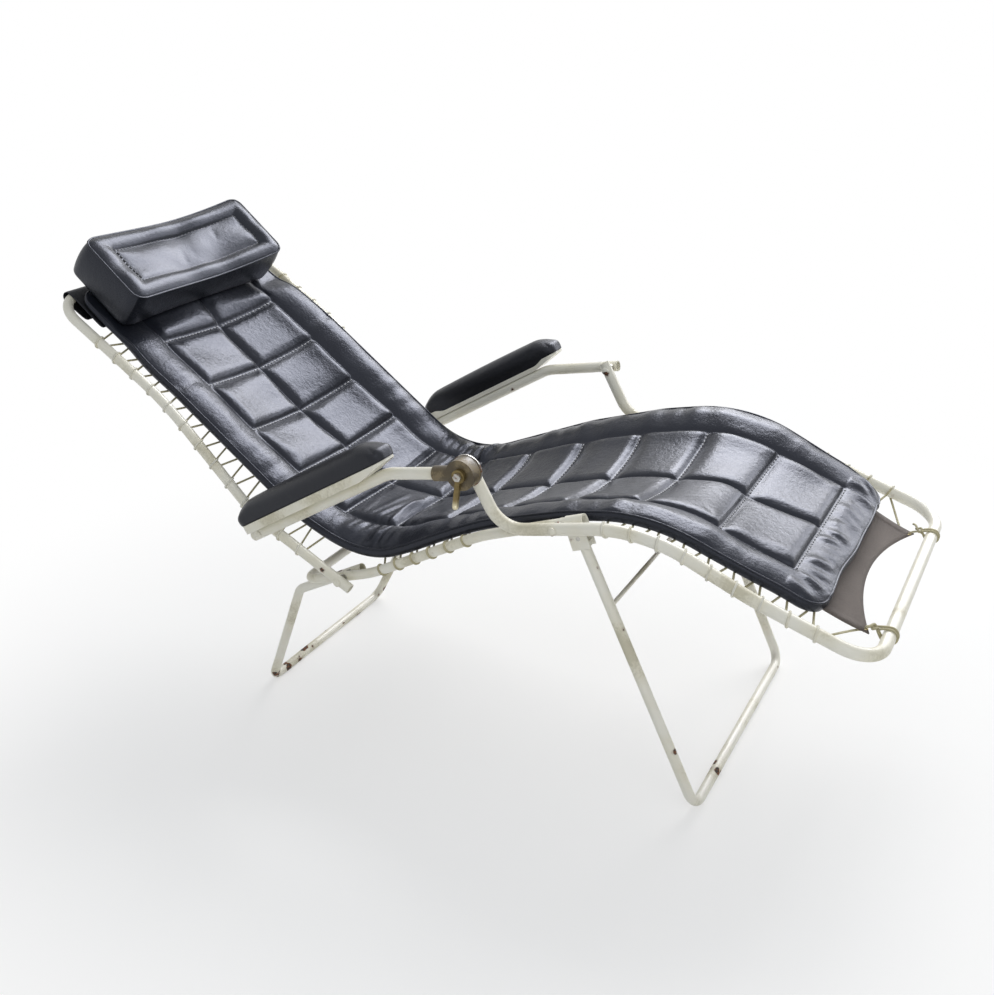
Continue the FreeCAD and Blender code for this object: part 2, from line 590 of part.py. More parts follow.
def arm_pad(label, sign):
    """Vinyl pad: crowned top, drawn-in sides, rounded ends."""
    length, half, height = dim("armrest_length"), dim("armrest_width") / 2, dim("arm_pad_height")
    edge = height * 0.45
    # share of the full section at each distance from an end
    taper = [(0, 0.62), (6, 0.8), (16, 0.93), (34, 1.0)]
    stations = taper + [(length - u, share) for u, share in reversed(taper)]
    wires = []
    for u, share in stations:
        w, side_h, top = half * (0.55 + 0.45 * share), edge * share, height * share
        wires.append(closed_wire(
            Part.LineSegment(Vector(u, -w + 2, 0), Vector(u, w - 2, 0)),
            Part.Arc(Vector(u, w - 2, 0), Vector(u, w, side_h / 2), Vector(u, w - 2, side_h)),
            Part.Arc(Vector(u, w - 2, side_h), Vector(u, 0, top), Vector(u, -w + 2, side_h)),
            Part.Arc(Vector(u, -w + 2, side_h), Vector(u, -w, side_h / 2), Vector(u, -w + 2, 0))))
    pad = doc.addObject("Part::Feature", label)
    pad.Shape = Part.makeLoft(wires, True, True)
    pad.Placement = arm_frame(sign, 0, arm_r + dim("arm_base_height") + gap)
    return node(pad, label)


for side, sign in SIDES:
    arm_base(f"arm_base_{side}", sign)
    arm_pad(f"arm_pad_{side}", sign)


# friction lock, right side: plate, moulded disc with neck, lever, bolt and nut

lock_inner = leg_y + leg_r + gap
disc_outer = arm_y + dim("lock_disc_thickness") / 2
plate_thickness = (arm_y - dim("lock_disc_thickness") / 2 - 2 * gap - lock_inner) / 2

for name, plate_y in (("inner", lock_inner), ("outer", lock_inner + plate_thickness + gap)):
    washer(f"lock_plate_{name}", pivot_arm_front, plate_y - gap, plate_y + plate_thickness + gap, -1,
           "Dims.lock_plate_dia", "Dims.lock_bolt_dia")

disc = doc.addObject("Part::Cylinder", "lock_disc_round")
disc.setExpression("Radius", "Dims.lock_disc_dia / 2")
disc.setExpression("Height", "Dims.lock_disc_thickness")
disc.Placement = along_y(pivot_arm_front, -disc_outer)
neck = doc.addObject("Part::Cylinder", "lock_neck_round")
neck.setExpression("Radius", "Dims.lock_neck_dia / 2")
neck.setExpression("Height", "Dims.lock_neck_run - Dims.lever_hub_dia / 2 - 2")
nose_angle = math.radians(arm_nose_slope)
nose_dir = Vector(math.cos(nose_angle), 0, math.sin(nose_angle))
neck.Placement = Placement(at_y(mouth, -arm_y), Rotation(Vector(0, 0, 1), nose_dir))
housing = doc.addObject("Part::Fuse", "lock_housing_blank")
housing.Base, housing.Tool = disc, neck
socket = doc.addObject("Part::Cylinder", "lock_socket")
socket.setExpression("Radius", "Dims.arm_tube_dia / 2 + Dims.running_gap")
socket.setExpression("Height", "Dims.lock_socket_depth + Dims.side_gap")
socket.Placement = neck.Placement
flat = doc.addObject("Part::Box", "lock_flat")
flat.setExpression("Length", "Dims.lock_neck_run * 2")
flat.setExpression("Width", "Dims.lock_neck_dia")
flat.setExpression("Height", "Dims.lock_disc_dia * 2")
flat.Placement = Placement(at_y((mouth[0] - 20, mouth[1] - dim("lock_disc_dia")),
                                -arm_y + dim("lock_disc_thickness") / 2), Rotation())
faced = doc.addObject("Part::Cut", "lock_housing_faced")
faced.Base, faced.Tool = housing, flat
bored = doc.addObject("Part::Cut", "lock_housing_socket")
bored.Base, bored.Tool = faced, socket
lock = doc.addObject("Part::Cut", "lock_housing")
lock.Base = bored
lock.Tool = drill("lock_housing_eye", pivot_arm_front, -arm_y - dim("lock_neck_dia"),
                  -arm_y + dim("lock_neck_dia"), "Dims.lock_bolt_dia")
node(lock, "lock_housing")

hub_inner = disc_outer + gap
hub_outer = hub_inner + dim("lever_thickness")
hub = doc.addObject("Part::Cylinder", "lever_hub")
hub.setExpression("Radius", "Dims.lever_hub_dia / 2")
hub.setExpression("Height", "Dims.lever_thickness")
hub.Placement = along_y(pivot_arm_front, -hub_outer)
lever_frame = Rotation(Y_AXIS, 90 + dim("lever_lean"))
stem = doc.addObject("Part::Box", "lever_stem")
stem.setExpression("Length", "Dims.lever_length")
stem.setExpression("Width", "Dims.lever_thickness")
stem.setExpression("Height", "Dims.lever_width")
stem.Placement = Placement(at_y(pivot_arm_front, -hub_outer)
                           - lever_frame.multVec(Vector(0, 0, dim("lever_width") / 2)), lever_frame)
tip = doc.addObject("Part::Sphere", "lever_tip")
tip.setExpression("Radius", "Dims.lever_width * 0.6")
tip.Placement = Placement(at_y(pivot_arm_front, -(hub_inner + hub_outer) / 2)
                          + lever_frame.multVec(Vector(dim("lever_length"), 0, 0)), Rotation())
lever_blank = doc.addObject("Part::MultiFuse", "lever_blank")
lever_blank.Shapes = [hub, stem, tip]
lever = doc.addObject("Part::Cut", "lock_lever")
lever.Base = lever_blank
lever.Tool = drill("lever_eye", pivot_arm_front, -hub_outer - 1, -hub_inner + 1, "Dims.lock_bolt_dia")
node(lever, "lock_lever")

# the bolt's square end sits inside the upright, its nut outside the lever
bolt_inner = leg_y - leg_r - gap
bolt = doc.addObject("Part::Cylinder", "lock_bolt_shank")
bolt.setExpression("Radius", "Dims.lock_bolt_dia / 2")
bolt.Height = hub_outer + gap - bolt_inner
bolt.Placement = along_y(pivot_arm_front, -hub_outer - gap)
bolt_head = doc.addObject("Part::Cylinder", "lock_bolt_head")
bolt_head.setExpression("Radius", "Dims.rivet_head_dia / 2")
bolt_head.setExpression("Height", "Dims.rivet_head_height")
bolt_head.Placement = along_y(pivot_arm_front, -bolt_inner)
bolt_nut = doc.addObject("Part::Prism", "lock_bolt_nut")
bolt_nut.Polygon = 6
bolt_nut.setExpression("Circumradius", "Dims.lock_bolt_dia * 0.95")
bolt_nut.setExpression("Height", "Dims.rivet_head_height")
bolt_nut.Placement = along_y(pivot_arm_front, -hub_outer - gap - dim("rivet_head_height"))
lock_bolt = doc.addObject("Part::MultiFuse", "lock_bolt")
lock_bolt.Shapes = [bolt, bolt_head, bolt_nut]
node(lock_bolt, "lock_bolt")


# sling and pad follow one route in the side view

class Route:
    """Straight runs and tangent arcs through (x, z) points, measured along their length."""

    def __init__(self, points, radii):
        self.wire = rounded_path([at_y(p, 0) for p in points], radii)
        self.edges = self.wire.OrderedEdges
        self.length = self.wire.Length

    def frame(self, distance):
        """Point (x, z) and heading in degrees at a distance along the route."""
        left = distance
        for edge in self.edges:
            if left <= edge.Length or edge is self.edges[-1]:
                parameter = edge.getParameterByLength(min(left, edge.Length - 1e-6))
                point, tangent = edge.valueAt(parameter), edge.tangentAt(parameter)
                return (point.x, point.z), math.degrees(math.atan2(tangent.z, tangent.x))
            left -= edge.Length

    def near(self, point):
        """Distance along the route of the place nearest to a point."""
        steps = int(self.length)
        return min(range(steps), key=lambda d: math.dist(self.frame(d)[0], point))

    def place(self, distance, y, n):
        """A point at height n above the route, square to it."""
        point, heading = self.frame(distance)
        return at_y(polar(point, n, heading + 90), y)


# the sling leaves the back tube at its upper bend and cuts the corner over the back pivot
hammock_low = (pivot_back[0] - dim("sling_fold_back"), pivot_back[1] + dim("sling_fold_rise"))
sling_start = polar(back_top, -(back_r + 8), 180 - dim("back_top_slope"))
seat_lift = polar(seat_bend_2, dim("sling_seat_lift"), dim("seat_front_slope") + 90)
seat_route = Route([sling_start, back_bend_2, hammock_low, seat_lift, pivot_leg],
                   [dim("sling_high_radius"), dim("sling_fold_radius"), dim("sling_seat_radius")])
leg_route = Route([pivot_leg, leg_knee, leg_shin, leg_front],
                  [dim("leg_knee_radius"), dim("leg_shin_radius")])

# where the bodies part: a wedge over the back pivot, with a lap of the seat under the back, and a wedge
# on each side of the leg rest pivot
fold = seat_route.near(pivot_back)
fold_mid = slope_of(pivot_back, seat_route.frame(fold)[0])
hinge_mid = (dim("seat_front_slope") + dim("leg_front_slope")) / 2 + 90
leg_stop = leg_route.length - leg_r - dim("sling_front_gap")


def wedge(pivot, middle, opening):
    """A prism along Y whose edge is just below a pivot, open towards one heading."""
    edge, depth = polar(pivot, -2.5, middle), dim("hinge_room_depth")
    half = (opening + dim("hinge_room_spare")) / 2
    corners = [at_y(edge, -seat_y), at_y(polar(edge, depth, middle - half), -seat_y),
               at_y(polar(edge, depth, middle + half), -seat_y)]
    return Part.Face(Part.makePolygon(corners + corners[:1])).extrude(Vector(0, 2 * seat_y, 0))


def roller(radius, half):
    """A cylinder along Y round the back pivot."""
    return Part.makeCylinder(radius, 2 * half, at_y(pivot_back, -half), Vector(0, 1, 0))


def behind_seat(half):
    """All that lies behind the seat's share of the fold, but for the lap inside the roller."""
    edge, depth = polar(pivot_back, -2.5, fold_mid), dim("hinge_room_depth")
    first = fold_mid - (dim("recline_up") + dim("hinge_room_spare")) / 2
    corners = [at_y(edge, -seat_y)] + [at_y(polar(edge, depth, first + turn), -seat_y)
                                       for turn in (0, 45, 90, 135)]
    sector = Part.Face(Part.makePolygon(corners + corners[:1])).extrude(Vector(0, 2 * seat_y, 0))
    return sector.cut(roller(dim("lap_radius"), half))


BACK_ROOM = [wedge(pivot_back, fold_mid, dim("recline_up")),
             roller(dim("lap_radius") + dim("lap_room"), seat_y)]
HINGE_ROOM = [wedge(pivot_leg, hinge_mid, dim("recline_down")),
              wedge(pivot_leg, hinge_mid + 180, dim("recline_up"))]


def make_room(shape, wedges):
    """Take out the room that the hinges need, and keep the one large solid."""
    for tool in wedges:
        shape = max(shape.cut(tool).Solids, key=lambda solid: solid.Volume)
    return shape


def ease(value):
    """Smooth step from 0 to 1."""
    value = min(1.0, max(0.0, value))
    return value * value * (3 - 2 * value)


# share of the full sag along the whole sling: flat at the top of the frame and at the front ties,
# shallow where it bridges the fold of the seat, deepest over the thighs and the knees
SAG_SHARES = [(20, 0.02), (170, 0.68), (420, 0.86), (600, 0.42), (760, 0.14), (900, 0.5), (1110, 0.88),
              (1330, 1.0), (1480, 0.55), (1640, 0.1), (1800, 0.06)]


def sag_at(route, distance):
    """Sag of the sling's middle at a distance along one of the two routes."""
    if route is leg_route:
        distance += seat_route.length
    share = SAG_SHARES[0][1]
    for (d1, s1), (d2, s2) in zip(SAG_SHARES, SAG_SHARES[1:]):
        if distance > d1:
            share = s1 + (s2 - s1) * ease((distance - d1) / (d2 - d1))
    return share * dim("sling_sag")


def quilt_stations(start, stop, first_seam, pitch, free_start, free_stop):
    """Distances along a pad, each with the share of its crown: 0.1 at a seam, 1 between seams."""
    corner = dim("pad_corner_radius")
    shoulder = pitch / 9
    shares = {start: 0.7, stop: 0.7}
    for free, end, inward in ((free_start, start, 1), (free_stop, stop, -1)):
        if free:
            shares.update({end: 0.0, end + inward * corner * 0.13: 0.35,
                           end + inward * corner * 0.45: 0.65, end + inward * corner: 0.8})
    seam_at = first_seam
    while seam_at < stop + pitch:
        for distance, share in ((seam_at - pitch / 2, 1.0), (seam_at - pitch / 3, 0.95),
                                (seam_at - shoulder, 0.75), (seam_at, 0.1), (seam_at + shoulder, 0.75),
                                (seam_at + pitch / 3, 0.95)):
            if start + corner + 4 < distance < stop - corner - 4:
                shares[distance] = share
        seam_at += pitch
    return shares


def sling(label, route, stations, wedges, stop=None):
    """Canvas panel that sags between its edges; stop is its free front end, if it has one."""
    half, thick = dim("sling_half_width"), dim("sling_thickness")
    distances = sorted(stations)
    if stop:
        last = distances[-1]
        distances += [last + (stop - last) * share for share in (0.33, 0.67, 1.0)]
    wires = []
    for distance in distances:
        w = half
        if stop:
            share = max(0.0, (distance / stop - 0.6) / 0.4)
            w = half + (dim("sling_front_half") - half) * share
        sag = sag_at(route, distance)

        def at(y, n):
            return route.place(distance, y, n)
        low, high = -thick / 2, thick / 2
        wires.append(closed_wire(
            Part.Arc(at(-w, low), at(0, low - sag), at(w, low)), Part.LineSegment(at(w, low), at(w, high)),
            Part.Arc(at(w, high), at(0, high - sag), at(-w, high)),
            Part.LineSegment(at(-w, high), at(-w, low))))
    panel = Part.makeLoft(wires, True, True)
    if stop:
        # the front edge is hollowed between the two corner eyelets
        reach, dip = dim("sling_front_half") - 6, dim("sling_front_dip")
        radius = (reach ** 2 + dip ** 2) / (2 * dip)
        point, heading = route.frame(stop)
        centre = polar(polar(point, radius - dip, heading), -60, heading + 90)
        normal = Vector(-math.sin(math.radians(heading)), 0, math.cos(math.radians(heading)))
        panel = panel.cut(Part.makeCylinder(radius, 90, at_y(centre, 0), normal)).Solids[0]
    cloth = doc.addObject("Part::Feature", label)
    cloth.Shape = make_room(panel, wedges)
    return node(cloth, label)


# the pad lies on the hood at the top end, pressed thin by the pillow
hood_in = back_r + gap
hood_out = hood_in + dim("hood_sheet")
hood_end = dim("hood_depth") - back_r - 8


def hood_line(distance):
    """Height of the hood's upper face above the sling route."""
    hem = dim("hood_hem") + dim("hood_sheet")
    return hood_out + (hem - hood_out) * min(1.0, max(0.0, distance / hood_end))


def on_hood(distance):
    return 1 - ease((distance - hood_end) / 130)


def pressed(distance):
    return dim("pad_pressed") + (1 - dim("pad_pressed")) * ease((distance - 110) / 50)


def pad(label, route, stations, wedges, free_start=False, free_stop=False):
    """Quilted pad: two columns of crowned squares, plain borders, drawn-in stitched sides."""
    side_h, bulge = dim("pad_side_height"), dim("pad_bulge")
    seam_y, seam, crown = dim("pad_seam_half"), dim("pad_seam"), dim("pad_crown")
    corner, full, head = dim("pad_corner_radius"), dim("pad_half_width"), free_start
    start, stop = min(stations), max(stations)
    wires = []
    for distance, share in sorted(stations.items()):
        to_end = min(distance - start if free_start else corner, stop - distance if free_stop else corner)
        to_end = min(to_end, corner)
        half = full - corner + math.sqrt(corner ** 2 - (corner - to_end) ** 2)
        keep = pressed(distance) if head else 1.0
        clear = dim("sling_thickness") / 2 + 2 * gap
        sag = sag_at(route, distance)
        over_cord = clear + dim("pad_cord_lift")
        edge = max(dim("pad_edge_rise"), over_cord + sag * ((full / dim("sling_half_width")) ** 2 - 1))

        def under(y):
            lying = clear - sag
            lying += (edge - lying) * (y / full) ** 2
            if head:
                rest = hood_line(distance) + gap
                rest += max(0.0, dim("pad_edge_rise") - rest) * (y / full) ** 2
                lying += (rest - lying) * on_hood(distance)
            return lying

        def at(y, n):
            return route.place(distance, y, n)
        swell = (seam + (crown - seam) * share) * keep
        wall = half - 2
        rim = side_h * (0.6 + 0.4 * share) * keep
        nodes = [(-wall, under(half) + rim), (-seam_y, under(seam_y) + seam * keep),
                 (0, under(0) + seam * keep), (seam_y, under(seam_y) + seam * keep),
                 (wall, under(half) + rim)]
        low = under(0) if abs(under(half) - under(0)) > 0.5 else under(0) - 0.2
        shapes = [Part.Arc(at(-half, under(half)), at(0, low), at(half, under(half))),
                  Part.Arc(at(half, under(half)), at(half + bulge, under(half) + rim / 2), at(*nodes[4]))]
        for (y1, n1), (y2, n2) in zip(nodes[::-1], nodes[-2::-1]):
            middle_y = (y1 + y2) / 2
            border = abs(middle_y) > seam_y
            top = max(under(middle_y) + swell * (0.9 if border else 1.0), (n1 + n2) / 2 + 0.5)
            shapes.append(Part.Arc(at(y1, n1), at(middle_y, top), at(y2, n2)))
        shapes.append(Part.Arc(at(*nodes[0]), at(-half - bulge, under(half) + rim / 2),
                               at(-half, under(half))))
        wires.append(closed_wire(*shapes))
    quilt = Part.makeLoft(wires, True, True)
    cushion = doc.addObject("Part::Feature", label)
    cushion.Shape = make_room(quilt, wedges)
    return node(cushion, label)


pad_stop = leg_stop - dim("pad_front_gap")
leg_seams = int((pad_stop - dim("pad_front_border")) / dim("pad_leg_pitch"))
leg_first_seam = pad_stop - dim("pad_front_border") - leg_seams * dim("pad_leg_pitch")
upper_quilt = (dim("pad_first_seam"), dim("pad_row_pitch"))
back_stations = quilt_stations(0, fold, *upper_quilt, True, False)
seat_stations = quilt_stations(fold - dim("lap_reach"), seat_route.length, *upper_quilt, False, False)
leg_stations = quilt_stations(0, pad_stop, leg_first_seam, dim("pad_leg_pitch"), False, True)
sling("back_sling", seat_route, back_stations, BACK_ROOM)
sling("seat_sling", seat_route, seat_stations,
      [behind_seat(dim("sling_half_width") - dim("lap_inset"))] + HINGE_ROOM)
sling("leg_sling", leg_route, leg_stations, HINGE_ROOM, leg_stop)
pad("back_pad", seat_route, back_stations, BACK_ROOM, free_start=True)
pad("seat_pad", seat_route, seat_stations, [behind_seat(dim("lap_pad_half"))] + HINGE_ROOM)
pad("leg_pad", leg_route, leg_stations, HINGE_ROOM, free_stop=True)


# hood over the top cross run, and the head pillow on the pad

top_down = dim("back_top_slope")
crest, depth, back_depth = dim("hood_crest"), dim("hood_depth"), dim("hood_back_depth")
hem_in = dim("hood_hem")
hem_out = hem_in + dim("hood_sheet")
hood_outline = [(depth, hem_in), (crest, hood_in), (0, hood_in), (0, -hood_in), (back_depth, -hood_in),
                (back_depth, -hood_out), (0, -hood_out), (0, hood_out), (crest, hood_out),
                (depth, hem_out)]
hood_shapes = []
for number, (a, b) in enumerate(zip(hood_outline, hood_outline[1:] + hood_outline[:1])):
    start, end = Vector(a[0], 0, a[1]), Vector(b[0], 0, b[1])
    if a[0] == 0 and b[0] == 0:
        hood_shapes.append(Part.Arc(start, Vector(-abs(a[1]), 0, 0), end))
    else:
        hood_shapes.append(Part.LineSegment(start, end))
hood = doc.addObject("Part::Feature", "head_hood")
hood.Shape = Part.Face(closed_wire(*hood_shapes)).extrude(Vector(0, 2 * dim("hood_half_width"), 0))
hood.Placement = Placement(at_y(back_top, -dim("hood_half_width")), Rotation(Y_AXIS, top_down))
node(hood, "head_hood")


def pillow(label):
    """Box pillow with a welted rim, swollen faces and a hollow across its top."""
    half, depth = dim("pillow_half_width"), dim("pillow_depth")
    wires = []
    for share in (-1.0, -0.97, -0.85, -0.5, 0.0, 0.5, 0.85, 0.97, 1.0):
        y = half * share
        height = dim("pillow_mid_height") + (dim("pillow_end_height") - dim("pillow_mid_height")) * share ** 2
        draw = 0.93 if abs(share) == 1 else 1.0
        a, b = depth / 2 * draw, height * (1 - draw) / 2
        top = height - b
        swell = 5 if draw == 1 else 2
        corner = [Vector(-a, y, b), Vector(a, y, b), Vector(a, y, top), Vector(-a, y, top)]
        wires.append(closed_wire(
            Part.Arc(corner[0], Vector(0, y, b - swell / 5), corner[1]),
            Part.Arc(corner[1], Vector(a + swell, y, height / 2), corner[2]),
            Part.Arc(corner[2], Vector(0, y, top + swell), corner[3]),
            Part.Arc(corner[3], Vector(-a - swell, y, height / 2), corner[0])))
    cushion = doc.addObject("Part::Feature", label)
    cushion.Shape = Part.makeLoft(wires, True, True)
    slope = top_down + dim("pillow_tilt")
    middle = polar(back_top, -(depth / 2 - dim("pillow_overhang")), 180 - top_down)
    middle = polar(middle, dim("pillow_rest"), 90 - top_down)
    cushion.Placement = Placement(at_y(middle, 0), Rotation(Y_AXIS, slope))
    return node(cushion, label)


pillow("pillow")


# lacing: each cord runs from the canvas edge over a tube, round it and back to the canvas

def wrap_corners(axis, tangent, eye_in, eye_out, sign, radius):
    """Two corners of the cord's path outside a tube, from one canvas eye to the next."""
    normal = Vector(-tangent.z, 0, tangent.x)
    if normal.z < 0:
        normal = normal * -1
    inward = Vector(0, -sign, 0)

    def height(eye, upper):
        u, n = (eye - axis).dot(inward), (eye - axis).dot(normal)
        lean = math.atan2(n, u) * (1 if upper else -1)
        theta = lean + math.acos(radius / math.hypot(u, n))
        return radius * (1 + math.cos(theta)) / math.sin(theta)
    over = axis - inward * radius + normal * height(eye_in, True)
    under = axis - inward * radius - normal * height(eye_out, False)
    return over, under


def cord(label, path, least_radius):
    """An elastic cord along its path; prints its tightest turn and how full its volume is."""
    solid = swept(label, path, "Dims.cord_dia / 2")
    doc.recompute()
    share = solid.Shape.Volume / (math.pi * (dim("cord_dia") / 2) ** 2 * path.Shape.Length)
    print(f"{label}: {path.Shape.Length:.0f} mm long, tightest turn {least_radius:.1f} mm, "
          f"volume {share:.4f} of section times length")
    return node(solid, label)


def lacing(label, route, tube_route, plane_y, tube_r, start, pitch, count, sign):
    """One elastic cord, zigzag between the canvas edge and a tube."""
    cord_r = dim("cord_dia") / 2
    radius = tube_r + cord_r + gap
    hem_y = dim("sling_half_width") + gap + cord_r
    # the rounded turn of the cord stops short of its corner, so the corner lies that much further in
    half_turn = math.atan2(pitch / 2, plane_y - hem_y)
    corner_y = hem_y - dim("cord_eye_radius") * (1 / math.sin(half_turn) - 1)

    def eye(distance, y):
        point = tube_route.frame(distance)[0]
        return route.place(route.near(point), sign * y, 0)
    end_y = hem_y - cord_r / 2
    points, radii = [eye(start - pitch / 2, end_y)], []
    for i in range(int(count)):
        distance = start + i * pitch
        point, heading = tube_route.frame(distance)
        tangent = Vector(math.cos(math.radians(heading)), 0, math.sin(math.radians(heading)))
        eye_out = eye(distance + pitch / 2, corner_y if i < int(count) - 1 else end_y)
        points += list(wrap_corners(at_y(point, sign * plane_y), tangent, points[-1], eye_out, sign, radius))
        points.append(eye_out)
        radii += [radius * 0.98, radius * 0.98, dim("cord_eye_radius")]
    path = path_object(label, rounded_path(points, radii[:-1]))
    return cord(label, path, min(radii[:-1]))


back_line = Route([back_top, back_bend_2, back_bend_1, pivot_back],
                  [dim("back_high_radius"), dim("back_low_radius")])
seat_line = Route([pivot_back, seat_bend_1, seat_bend_2, pivot_leg], [dim("seat_bend_radius")] * 2)
for side, sign in SIDES:
    lacing(f"back_lacing_{side}", seat_route, back_line, back_y, back_r, dim("back_lace_start"),
           dim("back_lace_pitch"), dim("back_lace_count"), sign)
    lacing(f"seat_lacing_{side}", seat_route, seat_line, seat_y, seat_r, dim("seat_lace_start"),
           dim("seat_lace_pitch"), dim("seat_lace_count"), sign)
    lacing(f"leg_lacing_{side}", leg_route, leg_route, leg_y, leg_r, dim("leg_lace_start"),
           dim("leg_lace_pitch"), dim("leg_lace_count"), sign)


def tie(label, sign):
    """Short cord from a front corner of the canvas, round the front cross run and back."""
    cord_r = dim("cord_dia") / 2
    radius = leg_r + cord_r + gap
    y = sign * dim("tie_half")
    (x, z), heading = leg_route.frame(leg_route.length)
    tangent = Vector(math.cos(math.radians(heading)), 0, math.sin(math.radians(heading)))
    normal = Vector(-tangent.z, 0, tangent.x)
    axis = Vector(x, y, z)
    back = dim("sling_front_gap") + leg_r - cord_r - 2 * gap
    knot = cord_r + dim("sling_thickness") / 2 + gap
    points = [axis - tangent * back + normal * knot, axis + tangent * radius + normal * radius,
              axis + tangent * radius - normal * radius, axis - tangent * back - normal * knot]
    theta = math.atan2(knot, back)
    spread = math.asin(radius / math.hypot(back, knot)) + theta
    rise = (back + radius) * math.tan(spread) - knot
    points[1] = axis + tangent * radius + normal * max(radius, rise)
    points[2] = axis + tangent * radius - normal * max(radius, rise)
    path = path_object(label, rounded_path(points, [radius * 0.98] * 2))
    return cord(label, path, radius * 0.98)


for side, sign in SIDES:
    tie(f"corner_tie_{side}", sign)


# every object has to be sound before anything is written

doc.recompute()
faults = [o.Label for o in doc.Objects if "Invalid" in o.State or "Error" in o.State]
for part in NODES:
    if part.Shape.isNull() or not part.Shape.isValid() or not part.Shape.Solids:
        faults.append(part.Label + " (shape)")
if faults:
    raise RuntimeError("failed: " + ", ".join(faults))
os.makedirs("parts", exist_ok=True)
for part in NODES:
    part.Shape.exportStep(os.path.join("parts", part.Label + ".step"))
    box = part.Shape.BoundBox
    print(f"{part.Label}: {len(part.Shape.Solids)} solid, {part.Shape.Volume / 1000:.2f} cm3, "
          f"x {box.XMin:.1f} {box.XMax:.1f} z {box.ZMin:.1f} {box.ZMax:.1f}")
for name, point in (("back", pivot_back), ("leg rest", pivot_leg), ("armrest front", pivot_arm_front),
                    ("armrest rear", pivot_arm_rear), ("front leg", pivot_stand)):
    print(f"{name} pivot: x {point[0]:.4f} z {point[1]:.4f}")
print(f"routes: {seat_route.length:.1f} and {leg_route.length:.1f}, fold at {fold}")
print(len(NODES), "nodes")
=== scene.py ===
import math

import bmesh
import bpy
import numpy as np
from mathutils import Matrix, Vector
from mathutils.bvhtree import BVHTree


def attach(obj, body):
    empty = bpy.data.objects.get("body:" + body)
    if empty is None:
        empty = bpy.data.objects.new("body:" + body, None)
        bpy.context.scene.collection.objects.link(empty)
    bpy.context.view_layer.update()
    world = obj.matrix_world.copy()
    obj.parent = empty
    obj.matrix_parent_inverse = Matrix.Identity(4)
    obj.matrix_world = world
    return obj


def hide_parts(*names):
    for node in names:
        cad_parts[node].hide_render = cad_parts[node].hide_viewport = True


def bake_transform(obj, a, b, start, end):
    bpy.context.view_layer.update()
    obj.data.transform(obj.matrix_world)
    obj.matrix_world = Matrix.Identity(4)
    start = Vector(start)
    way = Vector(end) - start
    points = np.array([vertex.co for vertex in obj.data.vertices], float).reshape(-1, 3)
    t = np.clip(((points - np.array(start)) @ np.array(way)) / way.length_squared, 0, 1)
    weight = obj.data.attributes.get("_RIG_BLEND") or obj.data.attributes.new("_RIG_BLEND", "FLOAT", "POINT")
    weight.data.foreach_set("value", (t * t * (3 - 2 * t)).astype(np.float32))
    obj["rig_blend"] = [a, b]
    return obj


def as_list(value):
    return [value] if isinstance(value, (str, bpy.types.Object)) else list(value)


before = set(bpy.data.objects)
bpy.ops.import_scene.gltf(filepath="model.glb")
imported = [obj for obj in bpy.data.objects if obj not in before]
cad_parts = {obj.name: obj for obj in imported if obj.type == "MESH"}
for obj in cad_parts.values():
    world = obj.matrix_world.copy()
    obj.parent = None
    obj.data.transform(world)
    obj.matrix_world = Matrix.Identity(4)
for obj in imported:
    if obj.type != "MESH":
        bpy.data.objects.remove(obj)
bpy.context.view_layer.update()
scene = bpy.context.scene


# ---- The view ----
# The lounger stands on the ground with its head to the left and its lock towards the viewer, who looks
# down on it from beyond the foot end. The lens is a normal one, held slightly out of level.

def put(name, data):
    """A new object in the scene, at its origin."""
    obj = bpy.data.objects.new(name, data)
    scene.collection.objects.link(obj)
    return obj


camera = put("camera", bpy.data.cameras.new("camera"))
camera.location = (1.0531, -1.7990, 1.3026)
camera.rotation_euler = [math.radians(angle) for angle in (67.0108, 4.1493, 28.4381)]
camera.data.sensor_fit = "HORIZONTAL"
camera.data.sensor_width = 36
camera.data.lens = 40.83
scene.camera = camera
